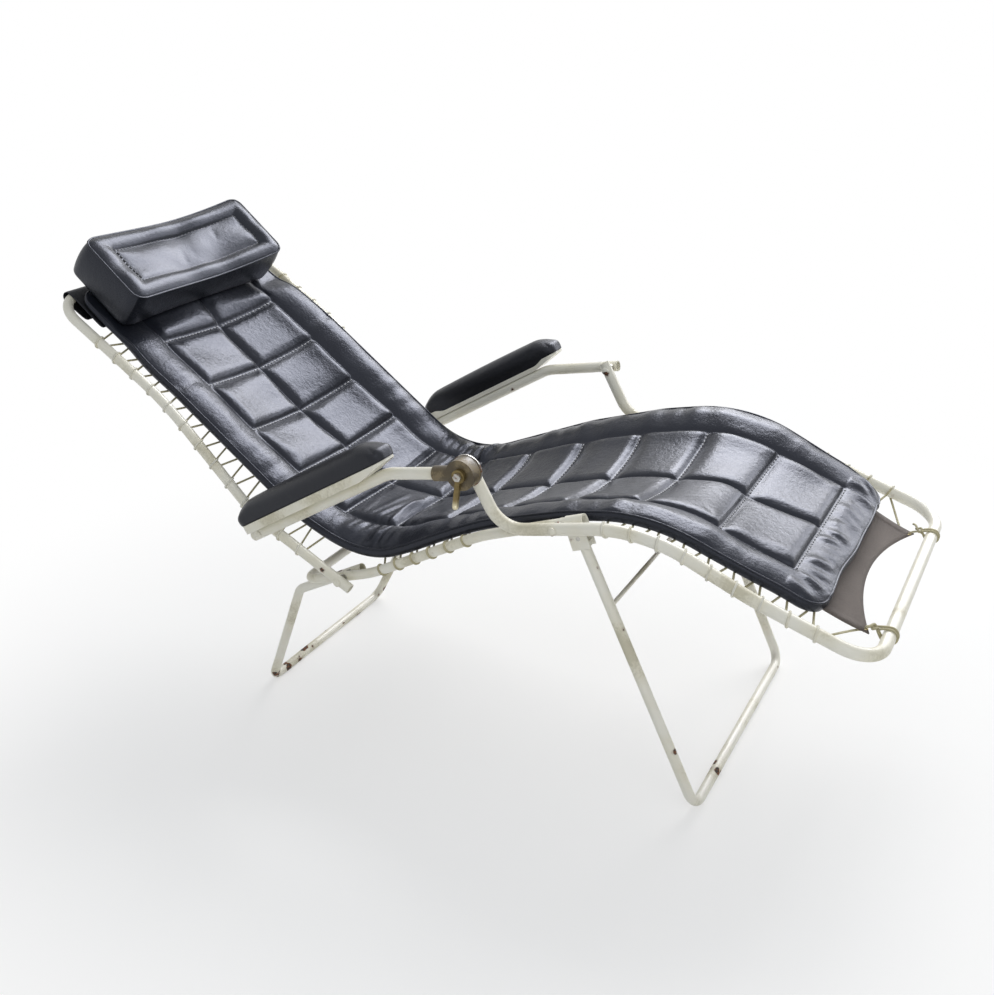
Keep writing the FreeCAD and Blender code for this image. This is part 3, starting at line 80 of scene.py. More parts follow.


# ---- Tube frame ----
# Seat frame, back, leg rest, armrest tubes and both folding legs are steel tube, bent cold, drilled for
# rivets and stove-enamelled cream. Weather has yellowed the enamel and chipped it down to rust, most of all
# on the foot bars and at the cut ends. Low on the foot bars the dark patches are partly rust and partly
# painted shade.

class Shade:
    """One socket of a material's nodes, so that shader maths reads as plain arithmetic."""

    def __init__(self, tree, socket=None):
        self.tree, self.socket = tree, socket

    def feed(self, target, value):
        if isinstance(value, Shade):
            self.tree.links.new(value.socket, target)
        elif hasattr(target.default_value, "__len__") and not hasattr(value, "__len__"):
            target.default_value = [value] * len(target.default_value)
        elif hasattr(value, "__len__") and len(target.default_value) == 4 and len(value) == 3:
            target.default_value = (*value, 1)
        else:
            target.default_value = value

    def make(self, kind, settings, output, inputs):
        """Add a node: settings first, then values or links for its inputs; gives an output."""
        added = self.tree.nodes.new("ShaderNode" + kind)
        for name, value in settings.items():
            setattr(added, name, value)
        for name, value in inputs.items():
            self.feed(added.inputs[name], value)
        return Shade(self.tree, added.outputs[output])

    def maths(self, operation, first, second):
        return self.make("Math", {"operation": operation}, 0, {0: first, 1: second})

    def __add__(self, other):
        return self.maths("ADD", self, other)

    def __sub__(self, other):
        return self.maths("SUBTRACT", self, other)

    def __rsub__(self, other):
        return self.maths("SUBTRACT", other, self)

    def __mul__(self, other):
        return self.maths("MULTIPLY", self, other)

    __radd__, __rmul__ = __add__, __mul__

    def sine(self):
        return self.maths("SINE", self, 0)

    def step(self, low, high):
        """0 below low, 1 above high, smooth between."""
        return self.make("MapRange", {"interpolation_type": "SMOOTHSTEP"}, "Result",
                         {"Value": self, "From Min": low, "From Max": high})

    def mix(self, colour, other):
        """From one colour to the other as this value goes from 0 to 1."""
        return self.make("Mix", {"data_type": "RGBA"}, 2, {0: self, 6: colour, 7: other})

    def part(self, axis):
        return self.make("SeparateXYZ", {}, axis, {"Vector": self})

    def noise(self, scale, detail=3.0):
        return self.make("TexNoise", {}, 0, {"Vector": self, "Scale": scale, "Detail": detail})

    def cells(self, scale, output="Distance", feature="F1"):
        return self.make("TexVoronoi", {"feature": feature}, output,
                         {"Vector": self, "Scale": scale})

    def bump(self, strength, depth):
        """A normal pushed in and out by this height; depth in metres."""
        return self.make("Bump", {}, "Normal",
                         {"Height": self, "Strength": strength, "Distance": depth})


def finish(name, coat):
    """A material; coat(place) gives its shader values, place being where a point is on the object."""
    material = bpy.data.materials.new(name)
    material.use_nodes = True
    shade = Shade(material.node_tree)
    place = shade.make("TexCoord", {}, "Object", {})
    for socket, value in coat(place).items():
        shade.feed(material.node_tree.nodes["Principled BSDF"].inputs[socket], value)
    return material


CREAM, YELLOWED = (0.83, 0.81, 0.715), (0.745, 0.705, 0.555)
GRIME, RUST, BARE = (0.30, 0.27, 0.16), (0.20, 0.075, 0.028), (0.045, 0.038, 0.032)
CHIP_CELLS = 46.0   # places per metre where the enamel may chip


def enamel(name, chips, low_rust_and_shade):
    """Cream enamel; chips from 0 to 1 sets how many, low_rust_and_shade how far it is patched dark near the ground,
    partly with rust and partly with painted shade.
    """
    def coat(place):
        cloud, speck = place.noise(9.0, 4.0), place.noise(230.0, 4.0)
        low = 1 - place.part("Z").step(0.004, 0.05)
        chance = place.cells(CHIP_CELLS, "Color").part("X")
        ragged = place.cells(CHIP_CELLS) + (speck - 0.5) * 0.35
        size = (chance - (1 - 0.12 * chips)) * (2.6 / max(chips, 0.2))
        # near the ground the chips grow into dark patches: partly rust, partly painted shade
        size = size + low * low_rust_and_shade * cloud.step(0.42, 0.6)
        chip = (size - ragged).step(0.0, 0.05)
        stain = (size + 0.16 - ragged).step(0.0, 0.3) * 0.75
        rub = (cloud + speck * 0.25 + low * 0.1).step(0.66, 0.8)
        tint = cloud.step(0.35, 0.7).mix(CREAM, YELLOWED)
        tint = (rub * 0.35).mix(tint, GRIME)
        tint = stain.mix(tint, RUST)
        tint = chip.mix(tint, speck.step(0.4, 0.62).mix(BARE, RUST))
        return {"Base Color": tint, "Roughness": 0.27 + speck * 0.12 + chip * 0.45 + rub * 0.2,
                "Normal": (place.noise(420.0, 2.0) * 0.12 - chip).bump(0.5, 0.0006)}
    return finish(name, coat)


def dress(material, *names):
    """Give CAD nodes their finish."""
    for name in names:
        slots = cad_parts[name].data.materials
        slots.clear()
        slots.append(material)


SIDES = (("right", -1), ("left", 1))
frame_enamel = enamel("frame_enamel", 0.45, 0.0)
foot_enamel = enamel("foot_enamel", 0.8, 0.8)
rear_foot_enamel = enamel("rear_foot_enamel", 1.0, 1.6)
dress(frame_enamel, "seat_tube", "back_tube", "leg_tube", "arm_tube_right", "arm_tube_left",
      "stretcher_rod", "front_bracket_right", "front_bracket_left")
dress(foot_enamel, "front_leg_tube")
dress(rear_foot_enamel, "rear_leg_tube")


# ---- Rivets and washers ----
# Every pivot is a steel rivet with a domed head, set through both tubes after enamelling and painted
# over by hand; plain zinc washers and spacers keep the tubes apart.

def zinc(name, tint, rust):
    """Dull plated steel; rust from 0 to 1."""
    def coat(place):
        cloud, speck = place.noise(60.0, 4.0), place.noise(500.0, 3.0)
        rusty = (cloud + speck * 0.4).step(0.95 - 0.3 * rust, 1.05 - 0.3 * rust)
        return {"Base Color": rusty.mix(cloud.step(0.3, 0.7).mix(tint, [c * 0.7 for c in tint]), RUST),
                "Metallic": 1 - rusty, "Roughness": 0.34 + speck * 0.2 + rusty * 0.4,
                "Normal": speck.bump(0.25, 0.0003)}
    return finish(name, coat)


painted_rivet = enamel("painted_rivet", 0.6, 0.0)
plated_steel = zinc("plated_steel", (0.56, 0.55, 0.51), 0.4)
for side, _ in SIDES:
    dress(painted_rivet, *(f"{rivet}_{side}" for rivet in ("rivet_back", "rivet_leg", "rivet_arm_rear")))
    dress(plated_steel, *(f"{part}_{side}" for part in ("washer_back", "washer_rear", "washer_leg",
                                                        "spacer_arm_rear", "pin_front_leg")))
dress(painted_rivet, "rivet_arm_front_left")
dress(plated_steel, "washer_arm_front_left")


# ---- Friction lock ----
# The right armrest ends in a brown moulded disc whose neck takes the tube. A lever on the clamping bolt
# squeezes disc and two steel plates together, which holds the recline where it is.

def moulding(place):
    cloud, speck = place.noise(38.0, 4.0), place.noise(330.0, 3.0)
    worn = (cloud + speck * 0.3).step(0.68, 0.82)
    tint = cloud.step(0.3, 0.7).mix((0.060, 0.042, 0.018), (0.105, 0.078, 0.034))
    return {"Base Color": worn.mix(tint, (0.20, 0.155, 0.085)), "Roughness": 0.32 + speck * 0.18 + worn * 0.2,
            "Normal": (place.noise(900.0, 2.0) * 0.4 + speck).bump(0.18, 0.0004)}


def bronzed(place):
    cloud, speck = place.noise(70.0, 4.0), place.noise(420.0, 3.0)
    # the lower tip of the lever is painted light brass: partly worn bare metal, partly a painted highlight
    tip_highlight_and_wear = 1 - (place.part("Z") + (cloud - 0.5) * 0.012).step(0.555, 0.572)
    tint = cloud.step(0.3, 0.7).mix((0.13, 0.095, 0.035), (0.23, 0.175, 0.08))
    return {"Base Color": tip_highlight_and_wear.mix(tint, (0.66, 0.60, 0.42)), "Metallic": 0.85,
            "Roughness": 0.42 + speck * 0.2 - tip_highlight_and_wear * 0.1, "Normal": speck.bump(0.2, 0.0003)}


dress(finish("lock_moulding", moulding), "lock_housing")
dress(finish("bronzed_lever", bronzed), "lock_lever")
dress(zinc("lock_steel", (0.50, 0.49, 0.46), 0.8), "lock_plate_inner", "lock_plate_outer", "lock_bolt")


# ---- Canvas sling ----
# One length of brown canvas hangs in the frame like a hammock, hemmed at its sides and set with brass
# eyelets. Its front edge is cut hollow between two corners. It is laced to the tubes all round.

MM = 0.001


class SideLine:
    """A line in the side view, in millimetres: straight runs with rounded corners, measured along."""
    STEP = 4.0      # a heading is taken over this length to either side

    def __init__(self, points, radii):
        points = [np.array(p, float) for p in points]
        path = [points[0]]
        for before, corner, after, radius in zip(points, points[1:], points[2:], radii):
            a, b = ((end - corner) / np.linalg.norm(end - corner) for end in (before, after))
            half = math.acos(float(a @ b)) / 2
            middle = corner + (a + b) / np.linalg.norm(a + b) * radius / math.sin(half)
            first, last = (corner + arm * radius / math.tan(half) - middle for arm in (a, b))
            for share in np.linspace(0, 1, 25):
                spoke = first * (1 - share) + last * share
                path.append(middle + spoke / np.linalg.norm(spoke) * radius)
        path = np.array(path + [points[-1]])
        self.along = np.r_[0, np.cumsum(np.linalg.norm(np.diff(path, axis=0), axis=1))]
        self.path, self.length = path, self.along[-1]

    def at(self, distance):
        return np.stack([np.interp(distance, self.along, self.path[:, axis]) for axis in (0, 1)], -1)

    def heading(self, distance):
        distance = np.clip(distance, self.STEP, self.length - self.STEP)
        ahead = self.at(distance + self.STEP) - self.at(distance - self.STEP)
        return ahead / np.linalg.norm(ahead, axis=-1, keepdims=True)

    def place(self, distance, y, height):
        """Points in metres at a height square to the line."""
        distance, y, height = np.broadcast_arrays(np.asarray(distance, float), y, height)
        point, way = self.at(distance), self.heading(distance)
        x, z = point[..., 0] - way[..., 1] * height, point[..., 1] + way[..., 0] * height
        return np.stack([x, y, z], -1) * MM

    def nearest(self, point):
        reach = np.arange(0, self.length, 0.5)
        return reach[np.argmin(np.linalg.norm(self.at(reach) - np.asarray(point), axis=1))]


# head to foot; soft pieces bend between two bodies over a stretch of it, and are cut in two at SPLIT
lie_line = SideLine([(-787.7, 840.4), (-557.8, 667.0), (-205.0, 364.7), (120.8, 480.3), (279.5, 521.1),
                     (431.6, 545.2), (612.5, 453.0), (804.0, 377.2)], [500, 220, 400, 300, 277, 800])
BENDS = {"upper": ("back", "seat_frame", 705, 830), "lower": ("seat_frame", "leg_rest", 1165, 1300)}
SPLIT = 946
SAG_DEPTH = 44
# millimetres along the line, and the share of the full sag there
SAG = [(20, 0.02), (170, 0.68), (420, 0.86), (600, 0.42), (760, 0.14), (900, 0.5), (1110, 0.88), (1330, 1.0),
       (1480, 0.55), (1640, 0.1), (1800, 0.06)]


def ease(value):
    value = np.clip(value, 0.0, 1.0)
    return value * value * (3 - 2 * value)


def sag(distance):
    """How far the middle of the sling hangs below its edges."""
    distance = np.asarray(distance, float)
    share = np.full(distance.shape, SAG[0][1])
    for (d1, s1), (d2, s2) in zip(SAG, SAG[1:]):
        share = np.where(distance > d1, s1 + (s2 - s1) * ease((distance - d1) / (d2 - d1)), share)
    return share * SAG_DEPTH


def belong(obj, slot, follows, *replaced):
    """A piece's material slot, which is not used, the body or the bend that it follows, and the CAD nodes that it
    stands for.
    """
    if replaced:
        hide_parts(*replaced)
    if follows in BENDS:
        *bodies, start, end = BENDS[follows]
        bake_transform(obj, *bodies, start=tuple(lie_line.place(start, 0, 0)), end=tuple(lie_line.place(end, 0, 0)))
    else:
        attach(obj, follows)


def new_piece(name, points, faces, material):
    mesh = bpy.data.meshes.new(name)
    mesh.from_pydata([tuple(p) for p in points], [], faces)
    mesh.polygons.foreach_set("use_smooth", [True] * len(mesh.polygons))
    mesh.materials.append(material)
    return put(name, mesh)


def settle(obj):
    """Turn an object and its modifiers into a plain mesh."""
    bpy.context.view_layer.update()
    done = bpy.data.meshes.new_from_object(obj.evaluated_get(bpy.context.evaluated_depsgraph_get()))
    obj.modifiers.clear()
    old, obj.data = obj.data, done
    bpy.data.meshes.remove(old)
    done.name = obj.name
    return obj


def map_uv(obj, uv):
    """A UV map in metres from one pair of numbers per point."""
    layer = obj.data.uv_layers.new(name="UVMap")
    corner_points = np.zeros(len(obj.data.loops), int)
    obj.data.loops.foreach_get("vertex_index", corner_points)
    layer.data.foreach_set("uv", np.asarray(uv, np.float32)[corner_points].ravel())


def woven(name, tint, worn_tint, pitch):
    """Plain weave read from the piece's UV map; pitch is from thread to thread, in metres."""
    def coat(place):
        cloth = place.make("UVMap", {"uv_map": "UVMap"}, 0, {})
        warp, weft = ((cloth.part(axis) * (math.pi / pitch)).sine() for axis in "XY")
        weave = warp * weft
        slub = place.noise(240.0, 3.0)
        faded = place.noise(6.0, 4.0).step(0.35, 0.7)
        colour = (weave * 0.18 + slub * 0.5).step(0.0, 0.5).mix([c * 0.62 for c in tint], tint)
        return {"Base Color": (faded * 0.55).mix(colour, worn_tint), "Roughness": 0.82 + slub * 0.12,
                "Normal": (weave + slub * 0.8).bump(0.55, 0.0006)}
    return finish(name, coat)


SLING_HALF, FRONT_HALF, FRONT_STOP, FRONT_DIP, FRONT_DROP = 215, 195, lie_line.length - 28, 42, 13
DRAW_IN, DROP_FROM, DROP_OVER = 1544, 1600, 150
HEM, EYE_INSET, EYE_ACROSS = 16, 7, 0.97
canvas = woven("brown_canvas", (0.165, 0.138, 0.122), (0.245, 0.212, 0.19), 0.0009)


def sling_edge(distance):
    """Half width of the sling: full, then drawn in towards the front corners."""
    share = np.clip((np.asarray(distance, float) - DRAW_IN) / (FRONT_STOP - DRAW_IN), 0, 1)
    return SLING_HALF + (FRONT_HALF - SLING_HALF) * share


def sling_height(distance, across):
    """Height of the cloth above the line of its edges; across runs from -1 to 1."""
    drop = FRONT_DROP * ease((np.asarray(distance) - DROP_FROM) / DROP_OVER)
    return -sag(distance) * (1 - np.asarray(across) ** 2) - drop


def sling(name, start, stop, hollow):
    """One length of the sling, hemmed at its sides; a hollow one is cut in a curve and hemmed at the end."""
    rows = np.linspace(0, 1, int((stop - start) / 9))
    hem = HEM / SLING_HALF
    inner = np.linspace(-1 + hem + 0.004, 1 - hem - 0.004, 41)
    cols = np.r_[-1, -1 + hem, inner, 1 - hem, 1]
    distance = start + rows[:, None] * (stop - start - hollow * FRONT_DIP * (1 - cols[None, :] ** 2))
    across = np.broadcast_to(cols[None, :], distance.shape)
    y = across * sling_edge(distance)
    points = lie_line.place(distance, y, sling_height(distance, across)).reshape(-1, 3)
    n = len(cols)
    faces = [[(r + 1) * n + c, (r + 1) * n + c + 1, r * n + c + 1, r * n + c]
             for r in range(len(rows) - 1) for c in range(n - 1)]
    obj = new_piece(name, points, faces, canvas)
    map_uv(obj, np.stack([y.ravel(), distance.ravel()], -1) * MM)
    double = obj.vertex_groups.new(name="hem")
    for r in range(len(rows)):
        for c in range(n):
            edge = c < 2 or c > n - 3 or (hollow and r > len(rows) - 3)
            double.add([r * n + c], 1.0 if edge else 0.45, "REPLACE")
    thick = obj.modifiers.new("cloth", "SOLIDIFY")
    thick.thickness, thick.offset = 0.0024, 0.0
    thick.vertex_group = "hem"
    return settle(obj)


for place, start, stop, nodes, tubes in (
        ("upper", 4, SPLIT, ("back_sling", "seat_sling"), ["back_tube", "seat_tube"]),
        ("lower", SPLIT, FRONT_STOP, ("seat_sling", "leg_sling"), ["seat_tube", "leg_tube"])):
    cloth = sling(f"{place}_sling", start, stop, place == "lower")
    belong(cloth, "canvas", place, *nodes)
    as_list(tubes)


# ---- Lacing ----
# Covered elastic cord runs zigzag from eyelet to eyelet: up through the canvas, over the tube, round it
# and back under. Each frame part has a cord on either side, and a short tie holds each front corner.

back_line = SideLine([(-802.1, 851.2), (-557.8, 667.0), (-374.9, 453.6), (-186.5, 340.0)], [600, 240])
seat_line = SideLine([(-186.5, 340.0), (-128.4, 354.9), (122.5, 474.6), (279.5, 521.1)], [400, 400])
leg_line = SideLine([(279.5, 521.1), (431.6, 545.2), (612.5, 453.0), (804.0, 377.2)], [277, 800])
CORD = 4.0
BRAID_RUN, BRAID_TURN = 2600.0, 25.13
ENAMELLED = (0.279, 0.287)      # a cord further out than this was painted with the tube
# where a cord goes at an eyelet: out and up from it, in millimetres
THROUGH_EYE = ((3.0, -4.0), (-2.5, -1.5), (3.0, -4.0))
# where it goes round a tube: degrees round it, and millimetres along it
ROUND_TUBE = ((-150, -7.0), (160, -5.0), (110, -3.5), (60, -2.0), (10, -0.6), (-40, 1.0), (-90, 2.6),
              (-135, 4.5))


def build_tree(name, sizes, wire):
    """A Geometry Nodes tree with named sizes; wire(add, inlet) adds its nodes and gives its geometry."""
    tree = bpy.data.node_groups.new(name, "GeometryNodeTree")
    tree.interface.new_socket("Geometry", in_out="INPUT", socket_type="NodeSocketGeometry")
    tree.interface.new_socket("Geometry", in_out="OUTPUT", socket_type="NodeSocketGeometry")
    for size in sizes:
        tree.interface.new_socket(size, in_out="INPUT", socket_type="NodeSocketFloat")
    tree.interface.new_socket("Material", in_out="INPUT", socket_type="NodeSocketMaterial")
    inlet, outlet = tree.nodes.new("NodeGroupInput"), tree.nodes.new("NodeGroupOutput")

    def add(kind, inputs, settings=None, output=0):
        made = tree.nodes.new(kind)
        for key, value in (settings or {}).items():
            setattr(made, key, value)
        for key, value in inputs.items():
            if isinstance(value, bpy.types.NodeSocket):
                tree.links.new(value, made.inputs[key])
            else:
                made.inputs[key].default_value = value
        return made.outputs[output]
    shape = add("GeometryNodeSetShadeSmooth", {"Geometry": wire(add, inlet.outputs)})
    shape = add("GeometryNodeRealizeInstances", {"Geometry": shape})
    shape = add("GeometryNodeSetMaterial", {"Geometry": shape, "Material": inlet.outputs["Material"]})
    tree.links.new(shape, outlet.inputs[0])
    return tree


def grow(name, tree, lines, material, sizes):
    """Run a tree along lines of points, each in metres, and keep what it makes as a plain mesh."""
    points = np.vstack([np.asarray(line) for line in lines])
    edges, start = [], 0
    for line in lines:
        edges += [(start + i, start + i + 1) for i in range(len(line) - 1)]
        start += len(line)
    mesh = bpy.data.meshes.new(name)
    mesh.from_pydata([tuple(p) for p in points], edges, [])
    obj = put(name, mesh)
    maker = obj.modifiers.new("maker", "NODES")
    maker.node_group = tree
    for item in tree.interface.items_tree:
        if item.in_out == "INPUT" and item.name in sizes:
            maker[item.identifier] = float(sizes[item.name])
        elif item.in_out == "INPUT" and item.name == "Material":
            maker[item.identifier] = material
    return settle(obj)


def even_line(add, inlet, step):
    """The line as a curve, with points evenly spaced by one of the named sizes."""
    line = add("GeometryNodeMeshToCurve", {"Mesh": inlet["Geometry"]})
    return add("GeometryNodeResampleCurve", {"Curve": line, "Length": inlet[step]}, {"mode": "LENGTH"})


def tube_along(add, inlet):
    """A round cord along a line, with the run along it and the turn round it kept for its material."""
    def keep(curve, name, output):
        value = add("GeometryNodeSplineParameter", {}, output=output)
        return add("GeometryNodeStoreNamedAttribute", {"Geometry": curve, "Name": name, "Value": value},
                   {"data_type": "FLOAT", "domain": "POINT"})
    line = keep(even_line(add, inlet, "Step"), "run", 1)
    ring = add("GeometryNodeCurvePrimitiveCircle", {"Resolution": 8, "Radius": inlet["Radius"]})
    return add("GeometryNodeCurveToMesh",
               {"Curve": line, "Profile Curve": keep(ring, "turn", 0), "Fill Caps": True})


cord_tree = build_tree("cord_along_line", ("Radius", "Step"), tube_along)


def elastic(place):
    run, turn = (place.make("Attribute", {"attribute_name": name}, "Fac", {})
                 for name in ("run", "turn"))
    one, other = (run * BRAID_RUN + turn * BRAID_TURN).sine(), (run * BRAID_RUN - turn * BRAID_TURN).sine()
    braid = one.maths("MAXIMUM", one, other)
    dirt = place.noise(26.0, 4.0)
    tint = dirt.step(0.35, 0.68).mix((0.66, 0.61, 0.42), (0.44, 0.40, 0.24))
    tint = (1 - braid.step(-0.5, 0.9)).mix(tint, (0.36, 0.32, 0.18))
    side = place.part("Y")
    painted = side.maths("ABSOLUTE", side, 0).step(*ENAMELLED)
    return {"Base Color": painted.mix(tint, dirt.step(0.35, 0.7).mix(CREAM, YELLOWED)), "Roughness": 0.78,
            "Normal": braid.bump(0.6, 0.0004)}


cord_cover = finish("elastic_cord", elastic)


def smooth_line(points):
    """A line through points, rounded by cutting each corner evenly, a few times over."""
    points = np.asarray(points, float)
    for _ in range(3):
        near, far = points[:-1] * 0.75 + points[1:] * 0.25, points[:-1] * 0.25 + points[1:] * 0.75
        middle = np.stack([near, far], 1).reshape(-1, 3)
        points = np.vstack([points[:1], middle[1:-1], points[-1:]])
    return points


def lace(tube, tube_y, tube_r, start, pitch, count, sign, last=None):
    """Centre line of one cord, and the eyelets that it goes through; last is one more eyelet further on."""
    reach = tube_r + CORD / 2 + 0.2
    line, eyes = [], []
    for wrap in range(count + 1):
        along = lie_line.nearest(tube.at(start + (wrap - 0.5) * pitch))
        hole_y, lie = sign * (sling_edge(along) - EYE_INSET), float(sling_height(along, EYE_ACROSS))
        eyes.append(lie_line.place(along, hole_y, lie))
        for inset, height in THROUGH_EYE:
            line.append(lie_line.place(along, hole_y + sign * inset, lie + height))
        if wrap < count or last is not None:
            centre, way = tube.at(start + wrap * pitch), tube.heading(start + wrap * pitch)
            up = np.array([-way[1], way[0]])
            for turn, slip in ROUND_TUBE:
                angle = math.radians(turn)
                off = up * math.sin(angle) * reach + way * slip
                out = math.cos(angle) * reach
                line.append(np.array([centre[0] + off[0], sign * (tube_y + out), centre[1] + off[1]]) * MM)
    if last is not None:
        line += [last + np.array(step) for step in ((-0.012, 0, -0.004), (0, 0, -0.003), (0.002, 0, 0.003))]
    return smooth_line(line), eyes


def front_corner(sign):
    """Where the eyelet of a front corner is."""
    return lie_line.place(FRONT_STOP - 9, sign * (FRONT_HALF - 9), -FRONT_DROP)


eyelet_spots = {"upper": [], "lower": []}
for side, sign in SIDES:
    for part, body, tube, tube_y, tube_r, start, pitch, count in (
            ("back", "back", back_line, 288.5, 10.0, 128, 48, 13),
            ("seat", "seat_frame", seat_line, 266.0, 9.5, 92, 42, 6),
            ("leg", "leg_rest", leg_line, 289.5, 11.0, 92, 46, 8)):
        last = front_corner(sign) if part == "leg" else None
        line, eyes = lace(tube, tube_y, tube_r, start, pitch, count, sign, last)
        cord = grow(f"{part}_cord_{side}", cord_tree, [line], cord_cover,
                    {"Radius": CORD / 2 * MM, "Step": 0.003})
        belong(cord, "lacing_cord", body, f"{part}_lacing_{side}")
        for spot in eyes:
            lower = part == "leg" or (part == "seat" and spot[0] > lie_line.at(SPLIT)[0] * MM)
            eyelet_spots["lower" if lower else "upper"].append(spot)

# front corner ties: through the corner eyelet, twice round the front tube, with a knot between
TIE_Y, FRONT_TUBE_R = 188, 11
TIE_TURN = (125, 80, 35, -10, -55, -100, -145)
front_point, front_way = lie_line.at(lie_line.length), lie_line.heading(lie_line.length)
front_up = np.array([-front_way[1], front_way[0]])
for side, sign in SIDES:
    corner = front_corner(sign)
    eyelet_spots["lower"].append(corner)

    def round_front(out):
        """One turn round the front tube."""
        reach = FRONT_TUBE_R + CORD / 2 + 0.3
        for turn in TIE_TURN:
            angle = math.radians(turn)
            off = front_way * math.cos(angle) * reach + front_up * math.sin(angle) * reach
            y = sign * (TIE_Y + out - turn / 60)
            yield np.array([front_point[0] + off[0], y, front_point[1] + off[1]]) * MM

    def behind(back, out, height):
        """A point behind the front tube."""
        return lie_line.place(lie_line.length - back, sign * (TIE_Y + out), height)
    loop = [corner + np.array([0, 0, -0.004]), corner + np.array([0, 0, 0.004])]
    loop += [*round_front(1.5), behind(21, 7, 2), *round_front(9), behind(22, 3, -1)]
    knot = [behind(25 - 5 * math.cos(t), 4 + 5.5 * math.sin(t), 1 + 3.5 * math.sin(2 * t))
            for t in np.linspace(0, 2 * math.pi * 1.6, 15)]
    tail = [behind(33, 12, 3), behind(38, 15, 1)]
    tie = grow(f"corner_cord_{side}", cord_tree, [smooth_line(loop + knot + tail)], cord_cover,
               {"Radius": CORD / 2 * MM, "Step": 0.0025})
    belong(tie, "lacing_cord", "leg_rest", f"corner_tie_{side}")


def eyelet_rings(add, inlet):
    """A rolled brass ring on every point, lying level."""
    ring = add("GeometryNodeCurvePrimitiveCircle", {"Resolution": 12, "Radius": inlet["Ring"]})
    wire = add("GeometryNodeCurvePrimitiveCircle", {"Resolution": 6, "Radius": inlet["Wire"]})
    ring = add("GeometryNodeCurveToMesh", {"Curve": ring, "Profile Curve": wire})
    spots = add("GeometryNodeMeshToPoints", {"Mesh": inlet["Geometry"]})
    return add("GeometryNodeInstanceOnPoints", {"Points": spots, "Instance": ring})


eyelet_tree = build_tree("eyelet_rings", ("Ring", "Wire"), eyelet_rings)
brass = zinc("eyelet_brass", (0.52, 0.43, 0.24), 0.3)
for place, spots in eyelet_spots.items():
    eyelets = grow(f"{place}_eyelets", eyelet_tree, [[spot] for spot in spots], brass,
                   {"Ring": 0.0042, "Wire": 0.0012})
    belong(eyelets, "rivet_steel", place)


# ---- Armrests ----
# Each armrest is a black vinyl pad, stuffed and pulled tight over a board, screwed to a folded sheet
# base enamelled like the frame. The ends are rounded and the sides draw in towards the base.

dress(enamel("base_enamel", 0.5, 0.0), "arm_base_right", "arm_base_left")


def box_skin(counts):
    """The i, j and k of the corners on the skin of a box of cells, and the faces between them."""
    number, faces = {}, []

    def corner(*cell):
        return number.setdefault(cell, len(number))
    for axis in range(3):
        a, b = (axis + 1) % 3, (axis + 2) % 3
        for level in (0, counts[axis]):
            for s in range(counts[a]):
                for t in range(counts[b]):
                    loop = []
                    for ds, dt in ((0, 0), (1, 0), (1, 1), (0, 1)):
                        cell = [0, 0, 0]
                        cell[axis], cell[a], cell[b] = level, s + ds, t + dt
                        loop.append(corner(*cell))
                    faces.append(loop if level else loop[::-1])
    return np.array(list(number)).T, faces


def outwards(points, faces):
    """The same faces, turned to point outwards."""
    a, b, c, d = np.moveaxis(np.asarray(points)[np.asarray(faces)], 1, 0)
    volume = np.sum(a * np.cross(b, c)) + np.sum(a * np.cross(c, d))
    return faces if volume > 0 else [face[::-1] for face in faces]


def points_of(mesh):
    return np.array([v.co for v in mesh.vertices])


CLOTH_FRAMES = 12


def plump(obj, sewn, pressure, cap):
    """Stuffing pressed against a sewn cover: cloth simulation, each point kept within its cap in metres."""
    obj.vertex_groups.new(name="sewn").add(np.nonzero(sewn)[0].tolist(), 1.0, "REPLACE")
    rest = points_of(obj.data)
    cloth = obj.modifiers.new("stuffing", "CLOTH")
    # nothing is set to shrink, but without a group named for it the cover settles up to 0.3 mm differently
    for name, value in (("quality", 6), ("mass", 0.25), ("vertex_group_mass", "sewn"), ("use_pressure", True),
                        ("uniform_pressure_force", pressure), ("bending_stiffness", 0.08),
                        ("vertex_group_shrink", "sewn")):
        setattr(cloth.settings, name, value)
    cloth.settings.effector_weights.gravity = 0
    cloth.collision_settings.use_collision = False
    cloth.point_cache.frame_start, cloth.point_cache.frame_end = 1, CLOTH_FRAMES
    for number in range(1, CLOTH_FRAMES + 1):
        scene.frame_set(number)
    moved = points_of(obj.evaluated_get(bpy.context.evaluated_depsgraph_get()).data) - rest
    far = np.linalg.norm(moved, axis=1, keepdims=True)
    moved *= np.minimum(1.0, np.reshape(cap, (-1, 1)) / np.maximum(far, 1e-9))
    obj.modifiers.remove(cloth)
    scene.frame_set(1)
    obj.data.vertices.foreach_set("co", (rest + moved).astype(np.float32).ravel())
    obj.data.update()


def refine(obj):
    """One round of subdivision, kept."""
    modifier = obj.modifiers.new("finer", "SUBSURF")
    modifier.levels = modifier.render_levels = 1
    return settle(obj)


def vinyl(name, tint, grain, gloss, crinkle):
    """Grained vinyl: grain is the cell size in metres, crinkle the depth of its soft creases in metres."""
    def coat(place):
        pebble = place.cells(1 / grain, "Distance", "SMOOTH_F1")
        crease = place.cells(0.42 / grain, "Distance", "DISTANCE_TO_EDGE").step(0.0, 0.10)
        fine, soft = place.noise(1.6 / grain, 2.0), place.noise(95.0, 1.5)
        dust = (place.noise(9.0, 4.0) + fine * 0.2).step(0.58, 0.95)
        colour = dust.mix(tint, [c * 1.3 + 0.002 for c in tint])
        relief = (crease * 0.3 - pebble * 0.3 + fine * 0.2) * (0.0003 / crinkle)
        return {"Base Color": colour, "Roughness": gloss + fine * 0.12 + dust * 0.08 - pebble * 0.05,
                "Specular IOR Level": 0.36, "Specular Tint": (0.80, 0.84, 1.0),
                "Normal": (soft + place.noise(210.0, 1.0) * 0.35 + relief).bump(0.8, crinkle)}
    return finish(name, coat)


